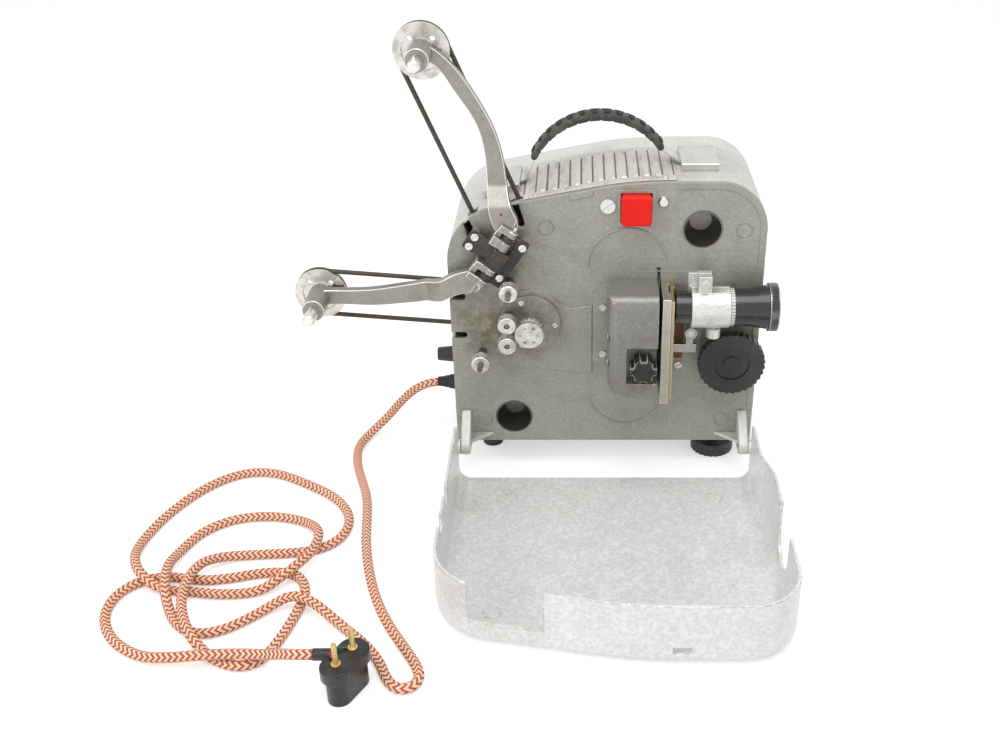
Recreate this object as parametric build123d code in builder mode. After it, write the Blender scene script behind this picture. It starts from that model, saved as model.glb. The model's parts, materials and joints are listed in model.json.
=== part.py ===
"""Portable film projector: casing, fold-down lid, two folding reel arms, film path, lamp house, lens."""
from math import atan2, cos, degrees, hypot, pi, radians, sin, sqrt
import os

from build123d import *

os.makedirs("parts", exist_ok=True)

# Casing sizes
CASE_W = 270.0
CASE_H = 251.0
CASE_LEFT_SHOULDER = 221.0
CASE_CROWN_X = 20.0
LEFT_CORNER_R = 50.0
CROWN_R = 350.0
RIGHT_CORNER_R = 42.0
CASE_BACK = 93.0
COVER_BACK = 140.0
COVER_EDGE_R = 24.0
WALL = 3.0
PLATE_THICK = 4.0
FOOT_H = 28.0

# Clearances and small shared sizes
RUNNING = 0.05
GAP = 0.3
SCREW_HEAD_R = 3.3
SCREW_HEAD_H = 1.8
SLOT_W = 0.9
BORDER_H = 1.0
BORDER_W = 6.0
PAD_H = 1.5

# Lid and its hinge
HINGE_Y = -23.3
HINGE_Z = 8.2
HINGE_PIN_R = 3.0
LID_FLOOR = 3.0
LID_WALL = 3.0
LID_AXIS_TO_FLOOR = HINGE_Z + FOOT_H - LID_FLOOR
LID_RIM_ABOVE_AXIS = 22.0
LID_BULGE_X = 143.0
LID_EDGE_R = 13.0
EAR_INNER_X = 121.0
EAR_OUTER_X = 129.3

# Reel arms: hubs with the arms up, cups that take the spindles with the arms folded
UPPER_HUB = (-146.0, 356.0)
LOWER_HUB = (-248.0, 145.0)
UPPER_CUP = (80.8, 209.2)
LOWER_CUP = (-82.1, 25.8)
BRACKET_CENTRE = (-92.3, 188.4)
ARM_HINGE_H = 18.0
ARM_PIN_R = 2.0
KNUCKLE_R = 4.6
KNEE_FRONT = 17.0
KNEE_BACK = 8.0
ARM_THICK = 8.0
UPPER_ARM_FRONT = 1.5
LOWER_ARM_FRONT = -0.3
SLEEVE_R = 9.5
SLEEVE_FRONT = 24.0
SPINDLE_R = 5.2
SPINDLE_TIP = 44.0
SHAFT_R = 3.0
PULLEY_R = 22.5
PULLEY_W = 7.0
BELT_R = 20.5
BELT_WIRE_R = 2.0
UPPER_BELT_Y = 10.0
LOWER_BELT_Y = 14.5
DRIVE_PULLEY = (-52.0, 129.0)
CUP_R = 16.6
CUP_FLOOR_R = 11.0
CUP_DEPTH = 24.0

# Film path
FILM_Y = -21.5
SPROCKET = (-65.5, 123.2)
SPROCKET_R = 12.2
SPROCKET_DISC_R = 26.5
SPROCKET_DISC_H = 3.0
ROLLER_R = 7.9
ROLLER_FRONT = 27.0
ROLLER_BACK = 16.0
POST_R = 2.5
TOP_ROLLER = (-82.3, 161.7)
MIDDLE_ROLLER = (-84.3, 131.7)
LOW_ROLLER = (-84.6, 112.3)
LEFT_ROLLER = (-108.2, 94.4)
LONG_POST_TIP = 35.0

# Lamp house, gate and lens
BASE_THICK = 3.0
LAMP_LEFT = 1.5
LAMP_RIGHT = 43.6
LAMP_LOW = 68.5
LAMP_TOP = 166.5
LAMP_FRONT = 45.0
LAMP_WALL = 2.0
POCKET_LEFT = 17.4
POCKET_LOW = 86.0
POCKET_TOP = 120.0
POCKET_FRONT = 34.0
STAR_KNOB = (31.7, 100.0)
STAR_KNOB_R = 11.6
STAR_KNOB_FRONT = 50.0
SHUTTER_X = 45.0
SHUTTER_THICK = 0.8
GATE_LEFT = 46.4
GATE_RIGHT = 53.4
PRESSURE_LEFT = 53.9
PRESSURE_RIGHT = 56.2
LENS_Z = 148.0
BARREL_R = 13.9
CLAMP_R = 17.6
CLAMP_BACK = 71.5
CLAMP_FRONT = 104.0
LENS_BACK = 58.5
LENS_FRONT = 145.0
LENS_RING_R = 20.6

# Knobs and switch
INCHING_KNOB = (110.0, 92.0)
INCHING_KNOB_R = 29.3
INCHING_KNOB_BACK = 13.0
INCHING_KNOB_FRONT = 22.0
SCALLOPS = 32
KNOB_SHAFT_R = 5.0
SWITCH = (24.6, 229.0)
SWITCH_W = 28.0
SWITCH_FRONT = 12.0
SPEED_KNOB_Y = 30.0
SPEED_KNOB_Z = 75.0
SPEED_KNOB_R = 7.6

# Feet
FOOT_R = 11.0
FOOT_TAPER = 1.5
FEET = [(-106.0, 43.0), (-104.0, 112.0), (104.0, 112.0)]
ELEVATOR = (104.3, 34.0)
ELEVATOR_R = 20.0
ELEVATOR_WHEEL_H = 12.0
ELEVATOR_SCREW_R = 5.0

# Drive inside the casing
CROSS_Y = 30.0
CROSS_Z = 117.0
CROSS_R = 4.0
SHUTTER_R = 62.0
SHUTTER_SLOT = 110.6
MOTOR_Y = 58.0
MOTOR_Z = 48.0
MOTOR_R = 31.0
MOTOR_LEFT = -38.0
MOTOR_RIGHT = 36.0
DRIVE_BELT_X = 72.0
MOTOR_PULLEY_R = 10.0
CROSS_PULLEY_R = 22.0

# Cord
CORD_R = 4.0
GLAND_Y = 40.0
GLAND_Z = 40.0
GLAND_LENGTH = 8.0

# Row frame: the centre of the whole outline, on the table
LEFT_END = LOWER_HUB[0] - PULLEY_R
RIGHT_END = LENS_FRONT
NEAR_END = HINGE_Y - (CASE_H - HINGE_Z)
ORIGIN_X = -(LEFT_END + RIGHT_END) / 2
ORIGIN_Y = -(NEAR_END + COVER_BACK) / 2
ORIGIN = (ORIGIN_X, ORIGIN_Y, FOOT_H)
BODY = Plane(origin=ORIGIN, x_dir=(1, 0, 0), z_dir=(0, 0, 1))
FRONT = Plane(origin=ORIGIN, x_dir=(1, 0, 0), z_dir=(0, -1, 0))
SIDE = Plane(origin=ORIGIN, x_dir=(0, 1, 0), z_dir=(1, 0, 0))
BASE = (Align.CENTER, Align.CENTER, Align.MIN)
FAR = 400.0


def finish(builder, name):
    """Label a finished piece and write it out."""
    builder.part.label = name
    export_step(builder.part, "parts/" + name + ".step")


def case_outline(grow=0.0):
    """Front view of the casing: flat sides and foot, a low left shoulder and a rounded crown."""
    half = CASE_W / 2
    with BuildSketch(Plane.XY, mode=Mode.PRIVATE) as outline:
        with BuildLine():
            FilletPolyline(
                (-half, 0),
                (-half, CASE_LEFT_SHOULDER),
                (CASE_CROWN_X, CASE_H),
                (half, CASE_H),
                (half, 0),
                radius=[LEFT_CORNER_R, CROWN_R, RIGHT_CORNER_R],
            )
            Line((half, 0), (-half, 0))
        make_face()
        if grow:
            offset(amount=grow)
    return outline.sketch_local


def slotted_screw(place, front, head_r=SCREW_HEAD_R):
    """One cheese head with its slot, standing on a face `front` mm before the plate."""
    with Locations((place[0], place[1], front)):
        Cylinder(head_r, SCREW_HEAD_H, align=BASE)
    with Locations((place[0], place[1], front + SCREW_HEAD_H)):
        Box(2.2 * head_r, SLOT_W, SCREW_HEAD_H, rotation=(0, 0, 35), mode=Mode.SUBTRACT)


def rotated_slot(start, end, width):
    """A round-ended slot between two points of the front view."""
    middle = ((start[0] + end[0]) / 2, (start[1] + end[1]) / 2)
    SlotCenterPoint(middle, end, width)


def fold_line(hub, cup):
    """Mid point, direction and angle of the line that a hub folds about to reach its cup."""
    middle = Vector((hub[0] + cup[0]) / 2, (hub[1] + cup[1]) / 2)
    across = Vector(cup[0] - hub[0], cup[1] - hub[1]).normalized()
    along = Vector(-across.Y, across.X)
    if along.Y < 0:
        along = along * -1
    reach = (Vector(*BRACKET_CENTRE) - middle).dot(along)
    foot = middle + along * reach
    return foot, along


def fold_plane(hub, cup):
    """Plane whose Z runs along an arm's hinge pin and whose origin is beside the bracket."""
    foot, along = fold_line(hub, cup)
    start = FRONT.from_local_coords(Vector(foot.X, foot.Y, ARM_HINGE_H))
    return Plane(origin=start, x_dir=(0, -1, 0), z_dir=(along.X, 0, along.Y))


UPPER_FOLD = fold_plane(UPPER_HUB, UPPER_CUP)
LOWER_FOLD = fold_plane(LOWER_HUB, LOWER_CUP)
BRACKET_ANGLE = 55.7
BRACKET = Plane(
    origin=FRONT.from_local_coords(Vector(BRACKET_CENTRE[0], BRACKET_CENTRE[1], 0)),
    x_dir=(cos(radians(BRACKET_ANGLE)), 0, sin(radians(BRACKET_ANGLE))),
    z_dir=(0, -1, 0),
)

# Places on the bracket, along and across its hinge line
BRACKET_SCREWS = [(6.9, 25.2), (-2.7, 24.9), (20.7, -12.8), (-12.9, -11.7)]
BRACKET_BACK = 9.5
BRACKET_FRONT = 12.8
TAIL_LOW = -6.5
TAIL_HIGH = 11.0
UPPER_EAR = (20.0, 25.0)
LOWER_EAR = (-18.7, -13.3)
EAR_REACH = 8.0
EAR_R = 5.5
EAR_FRONT = 23.5

# Belt notches in the front plate
LEFT_NOTCHES = [109.5, 147.0]
LEFT_NOTCH_END = -121.0
TOP_NOTCHES = [((-124.0, 232.0), (-112.5, 205.0)), ((-80.5, 247.0), (-71.5, 214.5))]
NOTCH_W = 6.0

# Front plate: a cast face with a raised border, a film-path pad, two heat beads and boss marks
BEAD_W = 2.0
BEAD_H = 1.2
BEAD_R = 34.0
BEAD_TOP = (18.5, 176.5)
BEAD_LOW = (19.0, 53.0)
MARK_R = 6.5
MARKS = [(-50.6, 210.1), (116.0, 207.4), (-109.0, 22.0), (108.0, 22.2)]
PLATE_PINS = [(-52.5, 193.8), (-52.8, 169.8)]
LAMP_BASE_POINTS = [
    (-11.0, 88.0),
    (-11.0, 151.4),
    (6.0, 172.6),
    (80.5, 172.6),
    (84.0, 168.0),
    (84.0, 60.0),
    (8.0, 60.0),
]
FILM_PAD_POINTS = [
    (-110, 83.5),
    (-86, 150),
    (-48, 149.5),
    (-41, 142),
    (-30.8, 136.5),
    (-11.4, 139),
    (-11.4, 71.5),
]
PAD_RIM = 4.5
LEFT_PAD = (-101.0, 94.5)
LEFT_PAD_R = 14.0
MARK_WIDTH = 0.8

with BuildPart() as front_plate:
    with BuildSketch(FRONT):
        add(case_outline())
    extrude(amount=-PLATE_THICK)
    with BuildSketch(FRONT):
        add(case_outline())
        add(case_outline(-BORDER_W), mode=Mode.SUBTRACT)
        with Locations((-88, 120)):
            Rectangle(114, 300, mode=Mode.SUBTRACT)
        with Locations((24, 235)):
            Rectangle(70, 60, mode=Mode.SUBTRACT)
        with Locations((0, 0)):
            Rectangle(300, 72, mode=Mode.SUBTRACT)
    extrude(amount=BORDER_H)
    with BuildSketch(FRONT):
        with Locations(SPROCKET):
            Circle(SPROCKET_DISC_R + PAD_RIM)
        with Locations(LEFT_PAD):
            Circle(LEFT_PAD_R)
        with BuildLine():
            Polyline(*FILM_PAD_POINTS, close=True)
        make_face()
    extrude(amount=PAD_H)
    for centre, start in ((BEAD_TOP, 15.0), (BEAD_LOW, 195.0)):
        with BuildSketch(FRONT):
            with BuildLine():
                CenterArc(centre, BEAD_R, start, 165.0)
                offset(amount=BEAD_W / 2, side=Side.BOTH)
            make_face()
        extrude(amount=BEAD_H)
    with BuildSketch(FRONT.offset(-0.4)):
        with Locations(*MARKS):
            Circle(MARK_R + MARK_WIDTH / 2)
            Circle(MARK_R - MARK_WIDTH / 2, mode=Mode.SUBTRACT)
    extrude(amount=3, mode=Mode.SUBTRACT)
    with BuildSketch(FRONT):
        with Locations(*PLATE_PINS):
            Circle(1.3)
    extrude(amount=2.2)
    with BuildSketch(BRACKET):
        with Locations(*BRACKET_SCREWS):
            Circle(4.2)
    extrude(amount=BRACKET_BACK)
    with BuildSketch(FRONT.offset(10)):
        for low, high in TOP_NOTCHES:
            rotated_slot(low, high, NOTCH_W)
        for height in LEFT_NOTCHES:
            rotated_slot((-CASE_W / 2 - 6, height), (LEFT_NOTCH_END - NOTCH_W / 2, height), NOTCH_W)
        with Locations(UPPER_CUP, LOWER_CUP):
            Circle(CUP_R)
        with Locations(SPROCKET):
            Circle(CROSS_R + RUNNING)
        with Locations(INCHING_KNOB):
            Circle(KNOB_SHAFT_R + RUNNING)
        with Locations((SHUTTER_X, CROSS_Z)):
            Rectangle(SHUTTER_THICK + 2.0, SHUTTER_SLOT + PLATE_THICK)
        with Locations(SWITCH):
            Rectangle(SWITCH_W - 2, SWITCH_W - 2)
    extrude(amount=-30, mode=Mode.SUBTRACT)
    with BuildSketch(FRONT.offset(-1.5)):
        with Locations(DRIVE_PULLEY):
            Circle(CROSS_R + RUNNING)
    extrude(amount=-PLATE_THICK, mode=Mode.SUBTRACT)
finish(front_plate, "front_plate")

# Main casing: a ring of wall behind the plate, with windows for the belts, the vent, shafts and cord
VENT_LEFT = -69.5
VENT_RIGHT = 58.0
VENT_FRONT = 4.0
VENT_BACK = 80.0
VENT_THICK = 1.2
VENT_HOLE_MARGIN = 16.0
BELT_WINDOW = 9.0
CASE_HALF = CASE_W / 2


def belt_strand(hub, side):
    """Ends of one straight stretch of a reel belt, on one side of its two equal pulleys."""
    span = hypot(hub[0] - DRIVE_PULLEY[0], hub[1] - DRIVE_PULLEY[1])
    across = ((DRIVE_PULLEY[1] - hub[1]) / span, (hub[0] - DRIVE_PULLEY[0]) / span)
    step = (side * BELT_R * across[0], side * BELT_R * across[1])
    return (hub[0] + step[0], hub[1] + step[1]), (DRIVE_PULLEY[0] + step[0], DRIVE_PULLEY[1] + step[1])


with BuildPart() as main_casing:
    with BuildSketch(FRONT.offset(-PLATE_THICK)):
        add(case_outline())
        add(case_outline(-WALL), mode=Mode.SUBTRACT)
    extrude(amount=-(CASE_BACK - PLATE_THICK))
    with BuildSketch(BODY.offset(WALL - 0.5)):
        with Locations(ELEVATOR):
            Circle(ELEVATOR_SCREW_R + 4.0)
    extrude(amount=12.5)
    with BuildSketch(SIDE.offset(-CASE_HALF - 1)):
        with Locations((SPEED_KNOB_Y, SPEED_KNOB_Z)):
            Circle(SHAFT_R + RUNNING)
        with Locations((GLAND_Y, GLAND_Z)):
            Circle(CORD_R + 1.5)
    extrude(amount=WALL + 2, mode=Mode.SUBTRACT)
    for hub, belt_y in ((UPPER_HUB, UPPER_BELT_Y), (LOWER_HUB, LOWER_BELT_Y)):
        with BuildSketch(FRONT.offset(-(belt_y - BELT_WINDOW / 2))):
            for side in (-1, 1):
                start, end = belt_strand(hub, side)
                middle = ((start[0] + end[0]) / 2, (start[1] + end[1]) / 2)
                SlotCenterPoint(middle, end, BELT_WINDOW)
        extrude(amount=-BELT_WINDOW, mode=Mode.SUBTRACT)
    with BuildSketch(BODY.offset(CASE_H - 25)):
        with Locations(((VENT_LEFT + VENT_RIGHT) / 2, (VENT_FRONT + VENT_BACK) / 2)):
            Rectangle(
                VENT_RIGHT - VENT_LEFT - 2 * VENT_HOLE_MARGIN,
                VENT_BACK - VENT_FRONT - 2 * VENT_HOLE_MARGIN,
            )
    extrude(amount=40, mode=Mode.SUBTRACT)
    with BuildSketch(BODY.offset(-1)):
        with Locations(ELEVATOR):
            Circle(ELEVATOR_SCREW_R + RUNNING)
    extrude(amount=WALL + 14, mode=Mode.SUBTRACT)
finish(main_casing, "main_casing")

# Rear cover: a deep round-edged pan, with cooling slots low on its back
COOLING_SLOTS = 6
COOLING_PITCH = 11.0
with BuildPart() as rear_cover:
    with BuildSketch(FRONT.offset(-CASE_BACK)):
        add(case_outline())
    extrude(amount=-(COVER_BACK - CASE_BACK))
    back_edges = rear_cover.faces().sort_by(Axis.Y)[-1].edges()
    fillet(back_edges.filter_by(lambda edge: edge.center().Z > FOOT_H + 1), COVER_EDGE_R)
    offset(amount=-WALL, openings=rear_cover.faces().sort_by(Axis.Y)[0])
    with BuildSketch(FRONT.offset(-COVER_BACK - 1)):
        with GridLocations(1, COOLING_PITCH, 1, COOLING_SLOTS):
            with Locations((-10.0, 80.0)):
                SlotOverall(90, 4.5)
    extrude(amount=WALL + 3, mode=Mode.SUBTRACT)
finish(rear_cover, "rear_cover")

# Cups that take the spindles when the arms are folded over the plate
CUP_WALL = 1.6
CUP_PLACES = [UPPER_CUP, LOWER_CUP]
with BuildPart(FRONT) as spindle_cups:
    with Locations(*[(x, z, -CUP_DEPTH) for x, z in CUP_PLACES]):
        Cone(CUP_FLOOR_R, CUP_R - RUNNING, CUP_DEPTH, align=BASE)
    with Locations(*[(x, z, CUP_WALL - CUP_DEPTH) for x, z in CUP_PLACES]):
        Cone(CUP_FLOOR_R - CUP_WALL, CUP_R - 1.0, CUP_DEPTH - CUP_WALL, align=BASE, mode=Mode.SUBTRACT)
finish(spindle_cups, "spindle_cups")


def crown_height(x):
    """Height of the casing's top at a place across it: a slope, the crown's arc, then level."""
    slope = (CASE_H - CASE_LEFT_SHOULDER) / (CASE_CROWN_X + CASE_HALF)
    tilt = atan2(slope, 1)
    reach = CROWN_R * sin(tilt / 2) / cos(tilt / 2)
    start_x = CASE_CROWN_X - reach * cos(tilt)
    end_x = CASE_CROWN_X + reach
    if x <= start_x:
        return CASE_H - slope * (CASE_CROWN_X - x)
    if x >= end_x:
        return CASE_H
    return CASE_H - CROWN_R + sqrt(CROWN_R**2 - (end_x - x) ** 2)


# Louvred vent plate, bent to the top of the casing and held by two screws
LOUVRES = 11
LOUVRE_PITCH = 9.6
LOUVRE_H = 3.4
LOUVRE_W = 8.2
LOUVRE_FRONT = 14.0
LOUVRE_BACK = 76.0
VENT_SCREWS = [(-59.0, 7.6), (48.5, 9.0)]
with BuildPart() as vent_plate:
    with BuildSketch(FRONT.offset(-VENT_FRONT)):
        add(case_outline(VENT_THICK))
        add(case_outline(), mode=Mode.SUBTRACT)
        with Locations(((VENT_LEFT + VENT_RIGHT) / 2, CASE_H)):
            Rectangle(VENT_RIGHT - VENT_LEFT, 60, mode=Mode.INTERSECT)
    extrude(amount=VENT_FRONT - VENT_BACK)
    with BuildSketch(FRONT.offset(-LOUVRE_FRONT)):
        for number in range(LOUVRES):
            left = (VENT_LEFT + VENT_RIGHT) / 2 + (number - LOUVRES / 2) * LOUVRE_PITCH
            right = left + LOUVRE_W
            with BuildLine():
                Polyline(
                    (left, crown_height(left) + 0.4),
                    (right - 1.2, crown_height(right) + LOUVRE_H),
                    (right, crown_height(right) + LOUVRE_H - 0.6),
                    (right, crown_height(right) + 0.4),
                    close=True,
                )
            make_face()
    extrude(amount=LOUVRE_FRONT - LOUVRE_BACK)
    for x, y in VENT_SCREWS:
        with BuildSketch(BODY.offset(crown_height(x) + 0.9)):
            with Locations((x, y)):
                Circle(3.0)
        extrude(amount=1.7)
        with BuildSketch(BODY.offset(crown_height(x) + 1.8)):
            with Locations((x, y)):
                Rectangle(7, SLOT_W, rotation=30)
        extrude(amount=2, mode=Mode.SUBTRACT)
finish(vent_plate, "vent_plate")

# Handle: two folded steel trays on the casing, their steel tongues, and a ribbed strap between them
TRAY_Y = 52.0
TRAY_DEPTH = 50.0
TRAY_W = 32.0
TRAY_H = 6.0
LEFT_TRAY_X = -88.0
RIGHT_TRAY_X = 79.0
TONGUE_W = 20.0
TONGUE_THICK = 2.0
STRAP_W = 23.0
STRAP_THICK = 6.0
STRAP_LEFT = (-62.0, 256.0)
STRAP_RIGHT = (47.5, 264.5)
STRAP_TOP = (-6.0, 292.0)
STRAP_RIBS = 19
left_tilt = degrees(atan2(CASE_H - CASE_LEFT_SHOULDER, CASE_CROWN_X + CASE_HALF))


def tray_plane(x, tilt):
    """Plane on the casing's top under one tray."""
    origin = BODY.from_local_coords(Vector(x, TRAY_Y, crown_height(x) + GAP))
    turn = radians(tilt)
    return Plane(origin=origin, x_dir=(cos(turn), 0, sin(turn)), z_dir=(-sin(turn), 0, cos(turn)))


with BuildPart(tray_plane(LEFT_TRAY_X, left_tilt)) as left_tray:
    Box(TRAY_W, TRAY_DEPTH, TRAY_H, align=BASE)
    fillet(left_tray.edges().group_by(Axis.Z)[-1], 1.2)
    with Locations((TRAY_W / 2, 0, 1.5)):
        Box(TRAY_W, TONGUE_W + 2, TRAY_H - 3.0, align=BASE, mode=Mode.SUBTRACT)
with BuildPart(tray_plane(RIGHT_TRAY_X, 0)) as right_tray:
    Box(TRAY_W, TRAY_DEPTH, TRAY_H, align=BASE)
    fillet(right_tray.edges().group_by(Axis.Z)[-1], 1.2)
    with Locations((-TRAY_W / 2, 0, 1.5)):
        Box(TRAY_W, TONGUE_W + 2, TRAY_H - 3.0, align=BASE, mode=Mode.SUBTRACT)

left_mouth = (LEFT_TRAY_X + 2, crown_height(LEFT_TRAY_X + 2) + TRAY_H / 2 + GAP)
right_mouth = (RIGHT_TRAY_X - 2, CASE_H + TRAY_H / 2 + GAP)
with BuildPart() as handle_tongues:
    with BuildSketch(FRONT.offset(-(TRAY_Y - TONGUE_W / 2))):
        with BuildLine():
            FilletPolyline(
                left_mouth,
                (LEFT_TRAY_X + 19, crown_height(LEFT_TRAY_X + 19) + TRAY_H / 2 + GAP),
                (STRAP_LEFT[0] + 2, STRAP_LEFT[1] + 1),
                radius=6,
            )
            offset(amount=TONGUE_THICK / 2, side=Side.BOTH)
        make_face()
        with BuildLine():
            FilletPolyline(
                right_mouth,
                (RIGHT_TRAY_X - 17, CASE_H + TRAY_H / 2 + GAP),
                (STRAP_RIGHT[0] - 2, STRAP_RIGHT[1] + 1),
                radius=6,
            )
            offset(amount=TONGUE_THICK / 2, side=Side.BOTH)
        make_face()
    extrude(amount=-TONGUE_W)
with BuildPart() as handle_fittings:
    add(left_tray.part)
    add(right_tray.part)
    add(handle_tongues.part)
finish(handle_fittings, "handle_fittings")

with BuildPart() as carry_handle:
    with BuildSketch(FRONT.offset(-(TRAY_Y - STRAP_W / 2))):
        with BuildLine():
            strap_arc = ThreePointArc(STRAP_LEFT, STRAP_TOP, STRAP_RIGHT)
            offset(amount=STRAP_THICK / 2, side=Side.BOTH)
        make_face()
        for number in range(STRAP_RIBS):
            spot = strap_arc @ ((number + 1) / (STRAP_RIBS + 1))
            turn = strap_arc % ((number + 1) / (STRAP_RIBS + 1))
            with Locations(Location((spot.X, spot.Y), degrees(atan2(turn.Y, turn.X)))):
                Rectangle(3.0, STRAP_THICK + 2.0)
    extrude(amount=-STRAP_W)
    add(handle_tongues.part, mode=Mode.SUBTRACT)
finish(carry_handle, "carry_handle")

# Two cast ears that carry the lid
EAR_TOP = 33.0
EAR_LUG_R = 7.0
GUSSET_REACH = 20.0
with BuildPart() as hinge_ears:
    for start in (EAR_INNER_X, -EAR_OUTER_X):
        with BuildSketch(SIDE.offset(start)):
            with Locations((HINGE_Y, HINGE_Z)):
                Circle(EAR_LUG_R)
            with Locations((-1.0, (EAR_TOP + 1.2) / 2)):
                Rectangle(2.0, EAR_TOP - 1.2)
            make_hull()
            with Locations((HINGE_Y, HINGE_Z)):
                Circle(HINGE_PIN_R + RUNNING, mode=Mode.SUBTRACT)
        extrude(amount=EAR_OUTER_X - EAR_INNER_X)
    with BuildSketch(BODY.offset(HINGE_Z - 1.5)):
        for side in (-1, 1):
            with BuildLine():
                Polyline(
                    (side * EAR_INNER_X, 0),
                    (side * (EAR_INNER_X - GUSSET_REACH), 0),
                    (side * EAR_INNER_X, -GUSSET_REACH * 0.8),
                    close=True,
                )
            make_face()
    extrude(amount=3.0)
finish(hinge_ears, "hinge_ears")

# Pins with heads, through the lid's lugs and the ears
PIN_HEAD_R = 4.6
PIN_HEAD_H = 1.8
with BuildPart(SIDE) as lid_hinge_pins:
    for side in (-1, 1):
        middle = (CASE_HALF + EAR_INNER_X) / 2
        with Locations((HINGE_Y, HINGE_Z, side * middle)):
            Cylinder(HINGE_PIN_R, CASE_HALF - EAR_INNER_X)
        with Locations((HINGE_Y, HINGE_Z, side * (CASE_HALF + RUNNING + PIN_HEAD_H / 2))):
            Cylinder(PIN_HEAD_R, PIN_HEAD_H + 2 * RUNNING)

# Lid: a deep pan lying open before the casing, hinge side open, with cuts for the lens and the arms
LID_START = 0.5
LID_LUG_INNER = EAR_OUTER_X + GAP
LID_LUG_R = 7.0
LID_SPACE_R = 10.0
LID_BULGE_START = 45.0
LID_BULGE_END = 75.0
LENS_CUT_R = LENS_RING_R + 2.9
LID_NOTCHES = [(92.0, 106.0), (133.0, 147.0)]
LID_NOTCH_DEPTH = 12.0
LOW_WALL = (-106.0, -49.0)
LOW_WALL_H = 20.0
LATCH_SLOT = (46.0, 60.0)
LATCH_SLOT_H = 5.0
LID_MARKS = [(-94.0, 32.0), (98.0, 33.0), (-91.0, 186.0), (3.0, 194.0), (100.0, 210.0)]
LID_HOLE = (17.7, 6.0)
LID_STUD = 45.0
LID_BOTTOM = HINGE_Z - LID_AXIS_TO_FLOOR - LID_FLOOR
LID_DEPTH = LID_AXIS_TO_FLOOR + LID_RIM_ABOVE_AXIS


def lid_outline(inset):
    """Plan of the lid lying open: the casing's front view with a bulge for the knob and the lens."""
    with BuildSketch(Plane.XY, mode=Mode.PRIVATE) as outline:
        with BuildLine():
            FilletPolyline(
                (-CASE_HALF, HINGE_Y - LID_START),
                (-CASE_HALF, HINGE_Y - (CASE_LEFT_SHOULDER - HINGE_Z)),
                (CASE_CROWN_X, NEAR_END),
                (LID_BULGE_X, NEAR_END),
                (LID_BULGE_X, HINGE_Y - LID_BULGE_END),
                (CASE_HALF, HINGE_Y - LID_BULGE_START),
                (CASE_HALF, HINGE_Y - LID_START),
                radius=[LEFT_CORNER_R, CROWN_R, RIGHT_CORNER_R, 60, 60],
            )
            Line((CASE_HALF, HINGE_Y - LID_START), (-CASE_HALF, HINGE_Y - LID_START))
        make_face()
        if inset:
            offset(amount=-inset)
            with Locations((0, HINGE_Y - LID_START)):
                Rectangle(CASE_W - 2 * inset, 4 * inset)
    return outline.sketch_local


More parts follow.
